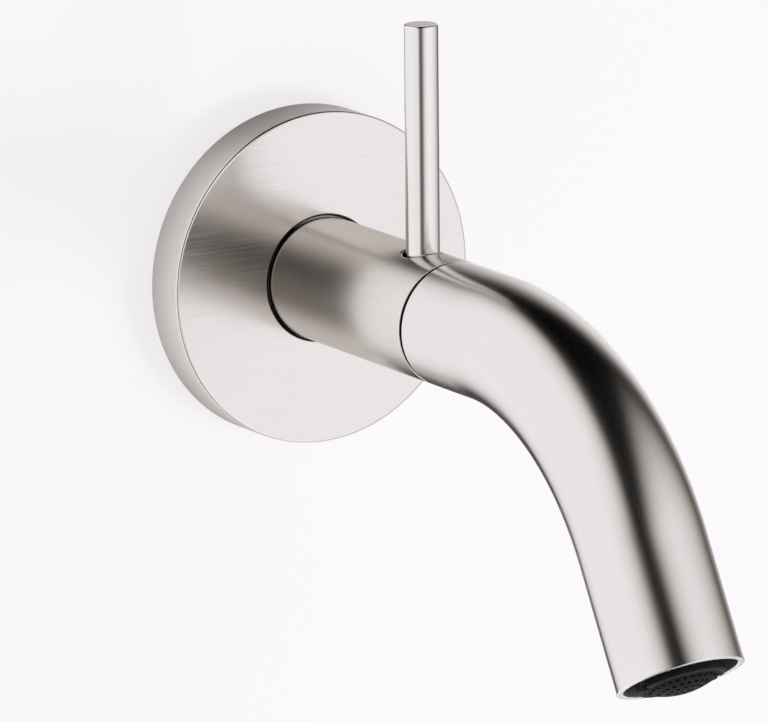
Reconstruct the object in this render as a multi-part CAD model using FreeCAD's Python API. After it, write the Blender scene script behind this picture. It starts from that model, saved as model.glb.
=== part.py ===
import FreeCAD, Part
import math
import os

from FreeCAD import Placement, Rotation, Vector

# Wall-mounted single-lever tap in brushed steel, millimetres.
# Origin: centre of the tap's axis on the wall face. X right, Y into the wall, Z up.
# Stations are distances out from the wall, so a station s lies at Y = -s.
# Angles round the axis start at the top and grow towards -X, the way the lever opens.

# Visible tube line: turning sleeve, then spout
TUBE_R = 18.5
SLEEVE_WALL = 1.9
SLEEVE_PROUD = 0.55
SLEEVE_CHAMFER = 0.45
JOINT_FROM_FLANGE = 74.4
JOINT_GAP = 1.4
SPOUT_WALL = 2.0
SPOUT_STRAIGHT = 21.4
SPOUT_BEND_R = 90.6
SPOUT_BEND_DEG = 60.0
SPOUT_RUN = 38.5
EDGE_BREAK = 0.35

# Wall flange
FLANGE_R = 50.0
FLANGE_T = 14.65
FLANGE_RIM_W = 6.5
FLANGE_PLATE_T = 4.4
FLANGE_CHAMFER = 0.6
FLANGE_GAP = 0.7
GASKET_INSET = 1.6
GASKET_W = 3.6
GASKET_T = 1.2

# Lever
LEVER_FROM_FLANGE = 57.1
LEVER_R = 5.0
LEVER_RISE = 66.9
LEVER_STUD_R = 3.0
LEVER_CHAMFER = 0.5
LEVER_SWING_DEG = 100.0
SLOT_FIT = 0.3
SLOT_PLAY = 1.2

# Valve body: walls and clearances, from the sleeve's bore inwards
BARREL_CLEAR = 0.7
BODY_SKIN = 1.5
CHANNEL_DEPTH = 1.8
BORE_SKIN = 1.2
SPIGOT_WALL = 2.15
SPIGOT_LENGTH = 13.8
SPIGOT_FIT = 0.05
SPIGOT_GROOVE = 1.75
BARREL_PAST_JOINT = 1.15
NECK_PROUD = 0.2
NECK_SUNK = 0.25
NECK_CHAMFER = 0.25
BODY_FLANGE_GAP = 1.5
BODY_FLANGE_T = 4.5
BORE_DEPTH_FROM_PLATE = 19.0
CHANNEL_MID_DEG = 220.0
CHANNEL_SPAN_DEG = 112.0
CHANNEL_PORT = 4.0

# Cartridge
CART_STEP = 1.0
CART_FIT = 0.1
CART_LEN = 26.0
CART_WALL = 1.9
DISC_T = 3.0
DISC_SEAT = 3.0
DISC_GAP = 0.05
DISC_PLAY = 0.3
PORT_OUTER = 0.8
PORT_INNER = 0.375
PORT_LAP = 0.2
PORT_SEAL_W = 1.6
PORT_SEAL_T = 1.5
CARRIER_T = 4.6
NECK_SHAFT_R = 5.2
SHAFT_FIT = 0.08
SHAFT_R = 4.0
SHAFT_FLAT = 3.2
SHAFT_PAST_LEVER = 2.75
SHAFT_GROOVE = 1.4
SHAFT_RING_W = 2.0
NUT_LEN = 6.0

# Lever hub
HUB_FIT = 0.5
HUB_BACK = 10.25
HUB_FRONT = 4.75
HUB_ARM_CLEAR = 1.1
HUB_ARM_HALF = 5.4
HUB_SEAT_STEP = 1.0
KEY_DEG = -32.0
KEY_HALF = 2.0
KEY_FIT = 0.05
KEYWAY_DEPTH = 0.9
WINDOW_FIT = 0.8
HUB_SCREW_R = 2.0
HUB_SCREW_HEAD_R = 3.6
HUB_SCREW_DEPTH = 10.0

# Plug between the dry hub space and the outlet chamber
PLUG_FROM_LEVER = 8.25
PLUG_T = 5.0
PLUG_GROOVE = 1.5
PLUG_RING_W = 2.0

# Glide rings
GLIDE_FIT = 0.05
GLIDE_W = 6.0
GLIDE_T = 1.35
GLIDE_INSET = 2.3

# Inlet tails
TAIL_X = 8.5
TAIL_R = 5.0
TAIL_WALL = 1.1
TAIL_THREAD_R = 6.0
TAIL_THREAD_LEN = 12.0
TAIL_NECK = 0.7
TAIL_RING = 1.4
TAIL_SHOULDER = 0.8
TAIL_HEX_AF = 14.0
TAIL_HEX_BACK = 2.5
TAIL_HEX_T = 7.0
TAIL_LENGTH = 70.0
SIEVE_LIP = 0.7
SIEVE_DEPTH = 5.0
SIEVE_WALL = 0.5
SIEVE_SLIT = 0.7

# Wall plate and screws
PLATE_GAP = 2.5
PLATE_T = 5.0
PLATE_TAIL_FIT = 0.4
WALL_SCREW_FROM_RIM = 7.0
WALL_SCREW_R = 2.5
WALL_SCREW_SHANK = 0.1
WALL_SCREW_HEAD_R = 4.5
WALL_SCREW_HEAD_H = 3.2
WALL_SCREW_LENGTH = 40.0
BODY_SCREW_FROM_RIM = 5.0
BODY_SCREW_R = 2.5
BODY_SCREW_HEAD_R = 4.4
SCREW_FIT = 0.15
SCREW_COUNT = 4
SCREW_FIRST_DEG = 0.0

# Seals and locking screw, measured from the piece that carries them
FLANGE_RING_SECTION = 2.8
FLANGE_RING_DEPTH = 2.5
SPIGOT_RING_SECTION = 2.2
SPIGOT_RING_FIRST = 3.2
SPIGOT_RING_SECOND = 11.2
GRUB_STEP = 7.2
GRUB_R = 2.5
GRUB_SUNK = 0.4

# Aerator, measured along the flow from the mouth plane
BUSH_OUT = -3.6
BUSH_LEN = 11.4
AERATOR_THREAD_R = 12.0
AERATOR_RIM_STEP = 0.85
AERATOR_RIM_OUT = 1.5
AERATOR_RIM_BREAK = 0.5
AERATOR_WALL = 0.8
AERATOR_BODY_LEN = 8.4
FACE_FIT = 0.1
FACE_SUNK = 0.1
FACE_DOME = 2.8
FACE_T = 1.0
FACE_WALL = 0.6
FACE_SKIRT = 6.2
HOLE_R = 0.62
HOLE_RINGS = 4
HOLE_RING_STEP = 2.45
HOLES_ADDED_PER_RING = 7
NOTCH_W = 3.0
NOTCH_D = 1.6
WASHER_T = 1.6

AXIS_OUT = Vector(0, -1, 0)
FLANGE_HOLE_R = TUBE_R + FLANGE_GAP
FLANGE_CAVITY_R = FLANGE_R - FLANGE_RIM_W
PLATE_R = FLANGE_CAVITY_R - PLATE_GAP
WALL_SCREW_PCR = PLATE_R - WALL_SCREW_FROM_RIM
BODY_FLANGE_R = WALL_SCREW_PCR - WALL_SCREW_HEAD_R - BODY_FLANGE_GAP
BODY_SCREW_PCR = BODY_FLANGE_R - BODY_SCREW_FROM_RIM
GASKET_R1 = FLANGE_R - GASKET_INSET
GASKET_R0 = GASKET_R1 - GASKET_W
FLANGE_RING_STATION = FLANGE_T - FLANGE_RING_DEPTH
SLEEVE_BORE_R = TUBE_R - SLEEVE_WALL
SLEEVE_REAR = FLANGE_T + SLEEVE_PROUD
SPOUT_BORE_R = TUBE_R - SPOUT_WALL
JOINT_STATION = FLANGE_T + JOINT_FROM_FLANGE
SLEEVE_FRONT = JOINT_STATION - JOINT_GAP / 2
SPOUT_REAR = JOINT_STATION + JOINT_GAP / 2
BEND_START = JOINT_STATION + SPOUT_STRAIGHT
NECK_R = TUBE_R + NECK_PROUD
NECK_END = FLANGE_T - NECK_SUNK
BARREL_R = SLEEVE_BORE_R - BARREL_CLEAR
BARREL_END = JOINT_STATION + BARREL_PAST_JOINT
CHANNEL_R1 = BARREL_R - BODY_SKIN
CHANNEL_R0 = CHANNEL_R1 - CHANNEL_DEPTH
FRONT_BORE_R = CHANNEL_R0 - BORE_SKIN
SPIGOT_R = FRONT_BORE_R + SPIGOT_WALL
SPIGOT_END = BARREL_END + SPIGOT_LENGTH
BODY_FACE = PLATE_T + BODY_FLANGE_T
BORE_FLOOR = PLATE_T + BORE_DEPTH_FROM_PLATE
CART_R = FRONT_BORE_R - CART_STEP
BORE_R = CART_R + CART_FIT
CART_END = BORE_FLOOR + CART_LEN
DISC_R = CART_R - CART_WALL
PORT_R1 = PORT_OUTER * DISC_R
PORT_R0 = PORT_INNER * DISC_R
PORT_X = (PORT_R0 + PORT_R1) / 2 + PORT_LAP
PORT_R = (PORT_R1 - PORT_R0) * 2 / 3
DISC_STATION = BORE_FLOOR + DISC_SEAT
CARRIER_STATION = DISC_STATION + 2 * DISC_T + DISC_GAP
CHANNEL_IN = CARRIER_STATION + 0.45
LEVER_STATION = FLANGE_T + LEVER_FROM_FLANGE
LEVER_SEAT = FRONT_BORE_R + HUB_SEAT_STEP
LEVER_TOP = TUBE_R + LEVER_RISE
SHAFT_END = LEVER_STATION + SHAFT_PAST_LEVER
SHAFT_RING_STATION = CART_END - 5.5
HUB_R = FRONT_BORE_R - HUB_FIT
HUB_ARM_R = SLEEVE_BORE_R - HUB_ARM_CLEAR
HUB_S0 = LEVER_STATION - HUB_BACK
HUB_S1 = LEVER_STATION + HUB_FRONT
WINDOW_HALF = HUB_ARM_HALF + WINDOW_FIT
PLUG_S0 = LEVER_STATION + PLUG_FROM_LEVER
PLUG_S1 = PLUG_S0 + PLUG_T
REAR_GLIDE = SLEEVE_REAR + GLIDE_INSET
FRONT_GLIDE = SLEEVE_FRONT - GLIDE_INSET - GLIDE_W
TAIL_BORE_R = TAIL_R - TAIL_WALL
TAIL_END = PLATE_T + TAIL_THREAD_LEN
SOCKET_END = TAIL_END + SIEVE_LIP + 0.1
AERATOR_RIM_R = AERATOR_THREAD_R + AERATOR_RIM_STEP
AERATOR_BORE_R = AERATOR_THREAD_R - AERATOR_WALL
AERATOR_TAIL = BUSH_OUT - AERATOR_BODY_LEN
FACE_R = AERATOR_BORE_R - FACE_FIT
FACE_STATION = AERATOR_RIM_OUT - FACE_SUNK
SCREW_DEGS = [SCREW_FIRST_DEG + 360.0 / SCREW_COUNT * i for i in range(SCREW_COUNT)]


def turned(profile):
    """Solid of revolution about the tap's axis from (station, radius) corners."""
    corners = [Vector(r, -s, 0) for s, r in profile]
    wire = Part.makePolygon(corners + corners[:1])
    return Part.Face(wire).revolve(Vector(0, 0, 0), Vector(0, 1, 0), 360)


def rod(radius, s0, s1, x=0.0, z=0.0):
    """Round bar along the axis between two stations."""
    return Part.makeCylinder(radius, s1 - s0, Vector(x, -s0, z), AXIS_OUT)


def ring(r_out, r_in, s0, s1):
    """Plain ring between two radii and two stations."""
    return turned([(s0, r_in), (s1, r_in), (s1, r_out), (s0, r_out)])


def o_ring(r_out, r_in, s0, s1, x=0.0):
    """O-ring as it lies squeezed: a section with strongly broken corners."""
    c = 0.3 * min(r_out - r_in, s1 - s0)
    band = turned([
        (s0, r_in + c), (s0 + c, r_in), (s1 - c, r_in), (s1, r_in + c),
        (s1, r_out - c), (s1 - c, r_out), (s0 + c, r_out), (s0, r_out - c),
    ])
    band.translate(Vector(x, 0, 0))
    return band


def spun(shape, degrees):
    """Copy of a shape turned round the tap's axis."""
    copy = shape.copy()
    copy.rotate(Vector(0, 0, 0), AXIS_OUT, degrees)
    return copy


def sector(r0, r1, s0, s1, deg0, deg1):
    """Arc-shaped block between two radii, two stations and two angles."""
    corners = [Vector(0, -s0, r0), Vector(0, -s1, r0), Vector(0, -s1, r1), Vector(0, -s0, r1)]
    face = Part.Face(Part.makePolygon(corners + corners[:1]))
    face.rotate(Vector(0, 0, 0), AXIS_OUT, deg0)
    return face.revolve(Vector(0, 0, 0), AXIS_OUT, deg1 - deg0)


def on_circle(radius, degrees):
    """Point (x, z) on a circle round the axis, for rows of holes and screws."""
    a = math.radians(degrees)
    return -radius * math.sin(a), radius * math.cos(a)


def hex_bar(across_flats, s0, s1, x=0.0, z=0.0):
    """Hexagonal bar along the axis."""
    r = across_flats / math.sqrt(3)
    corners = [Vector(x + r * math.cos(math.radians(60 * i)), -s0,
                      z + r * math.sin(math.radians(60 * i))) for i in range(6)]
    face = Part.Face(Part.makePolygon(corners + corners[:1]))
    return face.extrude(AXIS_OUT * (s1 - s0))


def flatted(radius, half_width, s0, s1):
    """Round shaft with two opposite flats."""
    block = Part.makeBox(2 * radius, s1 - s0, 2 * half_width,
                         Vector(-radius, -s1, -half_width))
    return rod(radius, s0, s1).common(block)


def mouth_point():
    """Centre of the spout's mouth."""
    b = math.radians(SPOUT_BEND_DEG)
    y = -BEND_START - SPOUT_BEND_R * math.sin(b) - SPOUT_RUN * math.cos(b)
    z = -SPOUT_BEND_R * (1 - math.cos(b)) - SPOUT_RUN * math.sin(b)
    return Vector(0, y, z)


def at_mouth(shape):
    """Moves a shape drawn round the axis to the mouth, station 0 on the mouth plane."""
    copy = shape.copy()
    copy.Placement = Placement(mouth_point(), Rotation(Vector(1, 0, 0), SPOUT_BEND_DEG))
    return copy


def upright(radius, z0, z1, x=0.0):
    """Round bar standing on the lever's line."""
    return Part.makeCylinder(radius, z1 - z0, Vector(x, -LEVER_STATION, z0), Vector(0, 0, 1))


# Pieces fixed to the wall

def wall_flange():
    """Hollow disc that hides the wall plate; the tube passes with an open gap."""
    c = FLANGE_CHAMFER
    shell = turned([
        (0, FLANGE_CAVITY_R),
        (FLANGE_T - FLANGE_PLATE_T, FLANGE_CAVITY_R),
        (FLANGE_T - FLANGE_PLATE_T, FLANGE_HOLE_R),
        (FLANGE_T - c / 2, FLANGE_HOLE_R),
        (FLANGE_T, FLANGE_HOLE_R + c / 2),
        (FLANGE_T, FLANGE_R - c),
        (FLANGE_T - c, FLANGE_R),
        (c / 2, FLANGE_R),
        (0, FLANGE_R - c / 2),
    ])
    groove = ring(GASKET_R1, GASKET_R0, 0, GASKET_T)
    return shell.cut(groove)


def wall_gasket():
    """Foam ring in the groove behind the flange's rim."""
    return ring(GASKET_R1, GASKET_R0, 0, GASKET_T)


def flange_ring():
    """O-ring on the neck that grips the flange."""
    half = FLANGE_RING_SECTION / 2
    return o_ring(FLANGE_HOLE_R, FLANGE_HOLE_R - FLANGE_RING_SECTION,
                  FLANGE_RING_STATION - half, FLANGE_RING_STATION + half)


def wall_plate():
    """Steel disc screwed to the wall; the valve body is screwed to it."""
    plate = turned([
        (0, 0), (PLATE_T, 0),
        (PLATE_T, PLATE_R - 0.8), (PLATE_T - 0.8, PLATE_R), (0, PLATE_R),
    ])
    passage = TAIL_THREAD_R + TAIL_SHOULDER + PLATE_TAIL_FIT
    for side in (-1, 1):
        plate = plate.cut(rod(passage, -1, PLATE_T + 1, side * TAIL_X))
    for deg in SCREW_DEGS:
        x, z = on_circle(WALL_SCREW_PCR, deg)
        plate = plate.cut(rod(WALL_SCREW_R + 0.25, -1, PLATE_T + 1, x, z))
        x, z = on_circle(BODY_SCREW_PCR, deg - 45)
        plate = plate.cut(rod(BODY_SCREW_R, -1, PLATE_T + 1, x, z))
    return plate


def wall_screws():
    """Four pan-head screws through the wall plate into the wall."""
    tip = PLATE_T - WALL_SCREW_LENGTH
    head = PLATE_T + WALL_SCREW_HEAD_H
    screw = turned([
        (tip, 0), (tip + 4, WALL_SCREW_R), (0, WALL_SCREW_R),
        (0, WALL_SCREW_R + WALL_SCREW_SHANK), (PLATE_T, WALL_SCREW_R + WALL_SCREW_SHANK),
        (PLATE_T, WALL_SCREW_HEAD_R), (head - 1.2, WALL_SCREW_HEAD_R),
        (head, WALL_SCREW_HEAD_R - 1.6), (head, 0),
    ])
    for turn in (0, 90):
        slot = Part.makeBox(5, 2.0, 1.1, Vector(-2.5, -head - 0.5, -0.55))
        slot.rotate(Vector(0, 0, 0), AXIS_OUT, turn)
        screw = screw.cut(slot)
    row = []
    for deg in SCREW_DEGS:
        x, z = on_circle(WALL_SCREW_PCR, deg)
        one = screw.copy()
        one.translate(Vector(x, 0, z))
        row.append(one)
    return Part.makeCompound(row)


def countersunk(s0, s1, clearance=0.0):
    """Countersunk screw from tip to flush face."""
    r = BODY_SCREW_R + clearance
    big = BODY_SCREW_HEAD_R + clearance
    return turned([(s0, 0), (s0, r), (s1 - (big - r), r), (s1, big), (s1, 0)])


def body_screws():
    """Four countersunk screws that hold the valve body on the wall plate."""
    face = BODY_FACE
    screw = countersunk(0.4, face).cut(hex_bar(3.0, face - 2.0, face + 1))
    row = []
    for deg in SCREW_DEGS:
        x, z = on_circle(BODY_SCREW_PCR, deg - 45)
        one = screw.copy()
        one.translate(Vector(x, 0, z))
        row.append(one)
    return Part.makeCompound(row)


def body_outline():
    """Turned outside of the valve body with its ring grooves."""
    f0 = PLATE_T
    f1 = BODY_FACE
    g = FLANGE_RING_SECTION / 2
    n = FLANGE_HOLE_R - FLANGE_RING_SECTION
    glide = SLEEVE_BORE_R - GLIDE_FIT - GLIDE_T
    outline = [(f0, 0), (f0, BODY_FLANGE_R), (f1, BODY_FLANGE_R), (f1, NECK_R)]
    outline += [(FLANGE_RING_STATION - g, NECK_R), (FLANGE_RING_STATION - g, n)]
    outline += [(FLANGE_RING_STATION + g, n), (FLANGE_RING_STATION + g, NECK_R)]
    outline += [(NECK_END - NECK_CHAMFER, NECK_R), (NECK_END, NECK_R - NECK_CHAMFER)]
    outline += [(NECK_END, BARREL_R)]
    for start in (REAR_GLIDE, FRONT_GLIDE):
        outline += [(start, BARREL_R), (start, glide)]
        outline += [(start + GLIDE_W, glide), (start + GLIDE_W, BARREL_R)]
    outline += [(BARREL_END, BARREL_R), (BARREL_END, SPIGOT_R)]
    for step in (SPIGOT_RING_FIRST, SPIGOT_RING_SECOND):
        a = BARREL_END + step - SPIGOT_RING_SECTION / 2 - 0.1
        b = a + SPIGOT_RING_SECTION + 0.2
        floor = SPIGOT_R - SPIGOT_GROOVE
        outline += [(a, SPIGOT_R), (a, floor), (b, floor), (b, SPIGOT_R)]
    outline += [(SPIGOT_END - 0.8, SPIGOT_R), (SPIGOT_END, SPIGOT_R - 0.8), (SPIGOT_END, 0)]
    return turned(outline)


def body_channel():
    """Arc-shaped outlet passage in the wall, open to the bore at both ends."""
    d0 = CHANNEL_MID_DEG - CHANNEL_SPAN_DEG / 2
    d1 = CHANNEL_MID_DEG + CHANNEL_SPAN_DEG / 2
    front = PLUG_S1 + CHANNEL_PORT
    run = sector(CHANNEL_R0, CHANNEL_R1, CHANNEL_IN, front, d0, d1)
    rear_port = sector(BORE_R - 1, CHANNEL_R1, CHANNEL_IN, CHANNEL_IN + CHANNEL_PORT, d0, d1)
    front_port = sector(FRONT_BORE_R - 1, CHANNEL_R1, front - CHANNEL_PORT, front, d0, d1)
    return run.fuse([rear_port, front_port])


def body_window():
    """Opening in the barrel for the lever's foot and the hub's arm, over the whole swing."""
    side = math.degrees(math.asin(LEVER_R / LEVER_SEAT)) + 3
    start = KEY_DEG - 11
    end = LEVER_SWING_DEG + side
    return sector(FRONT_BORE_R - 1, BARREL_R + 1, LEVER_STATION - WINDOW_HALF,
                  LEVER_STATION + WINDOW_HALF, start, end)


def valve_body():
    """Brass core: inlets at the rear, cartridge bore, hub space, outlet spigot."""
    body = body_outline()
    body = body.cut(rod(BORE_R, BORE_FLOOR, CART_END + 1))
    body = body.cut(rod(FRONT_BORE_R, CART_END, SPIGOT_END + 1))
    body = body.cut(body_channel())
    body = body.cut(body_window())
    for side in (-1, 1):
        body = body.cut(rod(TAIL_THREAD_R, PLATE_T - 1, SOCKET_END, side * TAIL_X))
        body = body.cut(rod(TAIL_THREAD_R - TAIL_NECK + TAIL_RING + 0.1, PLATE_T - 1,
                            PLATE_T + TAIL_RING, side * TAIL_X))
        body = body.cut(rod(PORT_R, SOCKET_END - 1, BORE_FLOOR + 1, side * PORT_X))
    for deg in SCREW_DEGS:
        x, z = on_circle(BODY_SCREW_PCR, deg - 45)
        hole = countersunk(PLATE_T - 1, BODY_FACE, SCREW_FIT)
        hole.translate(Vector(x, 0, z))
        body = body.cut(hole)
    seat = Part.makeCone(GRUB_R, 0.8, 1.6, Vector(0, -BARREL_END - GRUB_STEP, -SPIGOT_R),
                         Vector(0, 0, 1))
    return body.cut(seat)


def inlet_tail(side):
    """Threaded nipple with hexagon and a plain tail for a compression fitting."""
    neck = TAIL_THREAD_R - TAIL_NECK
    shoulder = TAIL_THREAD_R + TAIL_SHOULDER
    hex_end = -TAIL_HEX_BACK - TAIL_HEX_T
    tail = turned([
        (-TAIL_LENGTH, TAIL_BORE_R), (TAIL_END, TAIL_BORE_R), (TAIL_END, TAIL_THREAD_R - 0.6),
        (TAIL_END - 0.6, TAIL_THREAD_R), (PLATE_T + TAIL_RING + 0.1, TAIL_THREAD_R),
        (PLATE_T + TAIL_RING + 0.1, neck), (PLATE_T, neck), (PLATE_T, shoulder),
        (hex_end, shoulder), (hex_end, TAIL_R),
        (-TAIL_LENGTH + 0.6, TAIL_R), (-TAIL_LENGTH, TAIL_R - 0.6),
    ])
    nut = hex_bar(TAIL_HEX_AF, hex_end, -TAIL_HEX_BACK)
    nut = nut.cut(rod(TAIL_BORE_R, hex_end - 1, 0))
    tail = tail.fuse(nut).removeSplitter()
    tail.translate(Vector(side * TAIL_X, 0, 0))
    return tail


def tail_rings():
    """O-rings under the two tails' shoulders."""
    inner = TAIL_THREAD_R - TAIL_NECK
    rings = [o_ring(inner + TAIL_RING, inner, PLATE_T, PLATE_T + TAIL_RING, side * TAIL_X)
             for side in (-1, 1)]
    return Part.makeCompound(rings)


def inlet_strainers():
    """Two hat-shaped sieves between the tails and the body."""
    wall = SIEVE_WALL
    crown = TAIL_BORE_R - 0.4
    back = TAIL_END - SIEVE_DEPTH
    hat = turned([
        (TAIL_END, crown - wall), (back + wall, crown - wall), (back + wall, 0), (back, 0),
        (back, crown), (TAIL_END, crown), (TAIL_END, TAIL_THREAD_R - 0.6),
        (TAIL_END + SIEVE_LIP, TAIL_THREAD_R - 0.6), (TAIL_END + SIEVE_LIP, crown - wall),
    ])
    for i in range(6):
        slit = Part.makeBox(SIEVE_SLIT, SIEVE_DEPTH - 1.6, TAIL_THREAD_R + 2,
                            Vector(-SIEVE_SLIT / 2, -TAIL_END + 0.7, 0))
        slit.rotate(Vector(0, 0, 0), AXIS_OUT, 60 * i)
        hat = hat.cut(slit)
    pair = []
    for side in (-1, 1):
        one = hat.copy()
        one.translate(Vector(side * TAIL_X, 0, 0))
        pair.append(one)
    return Part.makeCompound(pair)


# Cartridge

def port_bores(s0, s1, radius=PORT_R):
    """The hot and cold bores between two stations."""
    return [rod(radius, s0, s1, side * PORT_X) for side in (-1, 1)]


def cartridge_body():
    """Housing that holds the two discs and guides the spindle."""
    d0 = DISC_STATION
    d1 = CARRIER_STATION + CARRIER_T + 0.15
    shell = turned([
        (BORE_FLOOR, 0), (d0, 0), (d0, DISC_R), (d1, DISC_R),
        (d1, NECK_SHAFT_R + SHAFT_FIT), (CART_END, NECK_SHAFT_R + SHAFT_FIT),
        (CART_END, CART_R), (BORE_FLOOR, CART_R),
    ])
    for bore in port_bores(BORE_FLOOR - 1, d0 + 1):
        shell = shell.cut(bore)
    for seat in port_bores(BORE_FLOOR - 1, BORE_FLOOR + PORT_SEAL_T, PORT_R + PORT_SEAL_W):
        shell = shell.cut(seat)
    first = CHANNEL_MID_DEG - CHANNEL_SPAN_DEG / 2
    for i in range(3):
        a = first + 6 + i * 36
        shell = shell.cut(sector(DISC_R - 1, CART_R + 1, CHANNEL_IN + 0.3,
                                 CHANNEL_IN + CHANNEL_PORT - 0.3, a, a + 28))
    return shell


def cartridge_seals():
    """Two rings between the cartridge's base and the floor of its bore."""
    rings = [o_ring(PORT_R + PORT_SEAL_W, PORT_R + 0.1, BORE_FLOOR, BORE_FLOOR + PORT_SEAL_T,
                    side * PORT_X) for side in (-1, 1)]
    return Part.makeCompound(rings)


def fixed_disc():
    """Ceramic disc with the hot and cold ports."""
    disc = rod(DISC_R - SHAFT_FIT, DISC_STATION, DISC_STATION + DISC_T)
    for a in (40, 220):
        disc = disc.cut(sector(PORT_R0, PORT_R1, DISC_STATION - 1, DISC_STATION + DISC_T + 1,
                               a, a + 100))
    return disc


def moving_disc():
    """Ceramic disc that opens the ports one after the other as it turns."""
    s0 = CARRIER_STATION - DISC_T
    disc = rod(DISC_R - DISC_PLAY, s0, CARRIER_STATION)
    return disc.cut(sector(PORT_R0 - PORT_LAP, PORT_R1 + PORT_LAP, s0 - 1,
                           CARRIER_STATION + 1, 150, 215))


def cartridge_spindle():
    """Disc carrier and shaft in one; two flats carry the lever hub."""
    s0 = CARRIER_STATION
    r = DISC_R - DISC_PLAY
    shaft = turned([(s0, 0), (s0 + CARRIER_T, 0), (s0 + CARRIER_T, r), (s0, r)])
    for deg in (155, 190):
        way = sector(2.6, DISC_R + 1, s0 - 1, s0 + CARRIER_T - 1.2, deg, deg + 24)
        shaft = shaft.cut(way)
    g0 = SHAFT_RING_STATION - SHAFT_RING_W / 2 - 0.1
    g1 = g0 + SHAFT_RING_W + 0.2
    floor = NECK_SHAFT_R - SHAFT_GROOVE
    neck = turned([
        (s0 + CARRIER_T, 0), (s0 + CARRIER_T, NECK_SHAFT_R), (g0, NECK_SHAFT_R),
        (g0, floor), (g1, floor), (g1, NECK_SHAFT_R),
        (CART_END + 1, NECK_SHAFT_R), (CART_END + 1, 0),
    ])
    end = flatted(SHAFT_R, SHAFT_FLAT, CART_END + 1, SHAFT_END)
    shaft = shaft.fuse([neck, end]).removeSplitter()
    return shaft.cut(rod(HUB_SCREW_R, SHAFT_END - HUB_SCREW_DEPTH, SHAFT_END + 1))


def spindle_ring():
    """O-ring in the spindle's groove."""
    half = SHAFT_RING_W / 2
    return o_ring(NECK_SHAFT_R, NECK_SHAFT_R - SHAFT_GROOVE, SHAFT_RING_STATION - half,
                  SHAFT_RING_STATION + half)


def cartridge_nut():
    """Threaded ring with key slots that clamps the cartridge."""
    front = CART_END + NUT_LEN
    bore = NECK_SHAFT_R + 0.8
    nut = turned([
        (CART_END, bore), (front, bore), (front, FRONT_BORE_R - 0.5),
        (front - 0.5, FRONT_BORE_R), (CART_END, FRONT_BORE_R),
    ])
    for deg in (0, 90, 180, 270):
        key = Part.makeBox(3, 2, FRONT_BORE_R, Vector(-1.5, -front, bore + 2))
        nut = nut.cut(spun(key, deg))
    return nut


# Pieces that turn with the lever

def lever_hub():
    """Hub on the spindle with an arm for the lever and a key for the sleeve."""
    lo = LEVER_STATION - HUB_ARM_HALF
    hi = LEVER_STATION + HUB_ARM_HALF
    hub = turned([
        (HUB_S0, 0), (HUB_S1, 0), (HUB_S1, HUB_R - 0.5), (HUB_S1 - 0.5, HUB_R),
        (HUB_S0 + 0.5, HUB_R), (HUB_S0, HUB_R - 0.5),
    ])
    arm_end = math.degrees(math.asin(LEVER_R / LEVER_SEAT)) + 1
    arm = sector(HUB_R - 3, HUB_ARM_R, lo, hi, KEY_DEG - 8, arm_end)
    key = Part.makeBox(2 * KEY_HALF, hi - lo, KEYWAY_DEPTH + 4,
                       Vector(-KEY_HALF, -hi, SLEEVE_BORE_R - 4))
    reach = SLEEVE_BORE_R + KEYWAY_DEPTH - 0.2
    key = spun(key, KEY_DEG).common(rod(reach, lo, hi))
    hub = hub.fuse([arm, key]).removeSplitter()
    hub = hub.cut(upright(LEVER_R + 0.4, LEVER_SEAT, TUBE_R))
    hub = hub.cut(upright(LEVER_STUD_R, SHAFT_R - 1, LEVER_SEAT + 1))
    hub = hub.cut(flatted(SHAFT_R + 0.02, SHAFT_FLAT + 0.02, HUB_S0 - 1, SHAFT_END))
    return hub.cut(rod(HUB_SCREW_R + 0.2, SHAFT_END - 1, HUB_S1 + 1))


def hub_screw():
    """Cap screw that draws the hub on to the spindle."""
    head = HUB_SCREW_HEAD_R
    screw = turned([
        (SHAFT_END - HUB_SCREW_DEPTH + 1, 0), (SHAFT_END - HUB_SCREW_DEPTH + 1, HUB_SCREW_R),
        (HUB_S1, HUB_SCREW_R),
        (HUB_S1, head), (HUB_S1 + 2.2, head), (HUB_S1 + 2.6, head - 0.4), (HUB_S1 + 2.6, 0),
    ])
    return screw.cut(hex_bar(3.0, HUB_S1 + 0.8, HUB_S1 + 3))


def slot_cutter(z0, z1, grow=0.0):
    """Crosswise slot with round ends, upright through the sleeve's crest."""
    r = LEVER_R + SLOT_FIT + grow
    reach = SLOT_PLAY - SLOT_FIT
    ends = [upright(r, z0, z1, side * reach) for side in (-1, 1)]
    middle = Part.makeBox(2 * reach, 2 * r, z1 - z0,
                          Vector(-reach, -LEVER_STATION - r, z0))
    return ends[0].fuse([ends[1], middle])


def control_sleeve():
    """Turning outer tube with the lever's slot and an inner keyway."""
    c = SLEEVE_CHAMFER
    front = SLEEVE_FRONT
    tube = turned([
        (SLEEVE_REAR, SLEEVE_BORE_R), (front, SLEEVE_BORE_R),
        (front, TUBE_R - EDGE_BREAK), (front - EDGE_BREAK, TUBE_R),
        (SLEEVE_REAR + c, TUBE_R), (SLEEVE_REAR, TUBE_R - c),
    ])
    tube = tube.cut(slot_cutter(FRONT_BORE_R, TUBE_R + 1))
    half = KEY_HALF + KEY_FIT
    run = front - LEVER_STATION + HUB_ARM_HALF + 2
    way = Part.makeBox(2 * half, run, SLEEVE_BORE_R, Vector(-half, -front - 1, FRONT_BORE_R))
    way = spun(way, KEY_DEG).common(rod(SLEEVE_BORE_R + KEYWAY_DEPTH, 0, front + 2))
    tube = tube.cut(way)
    rim = [e for e in tube.Edges if slot_rim(e)]
    return tube.makeChamfer(0.3, rim)


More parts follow.
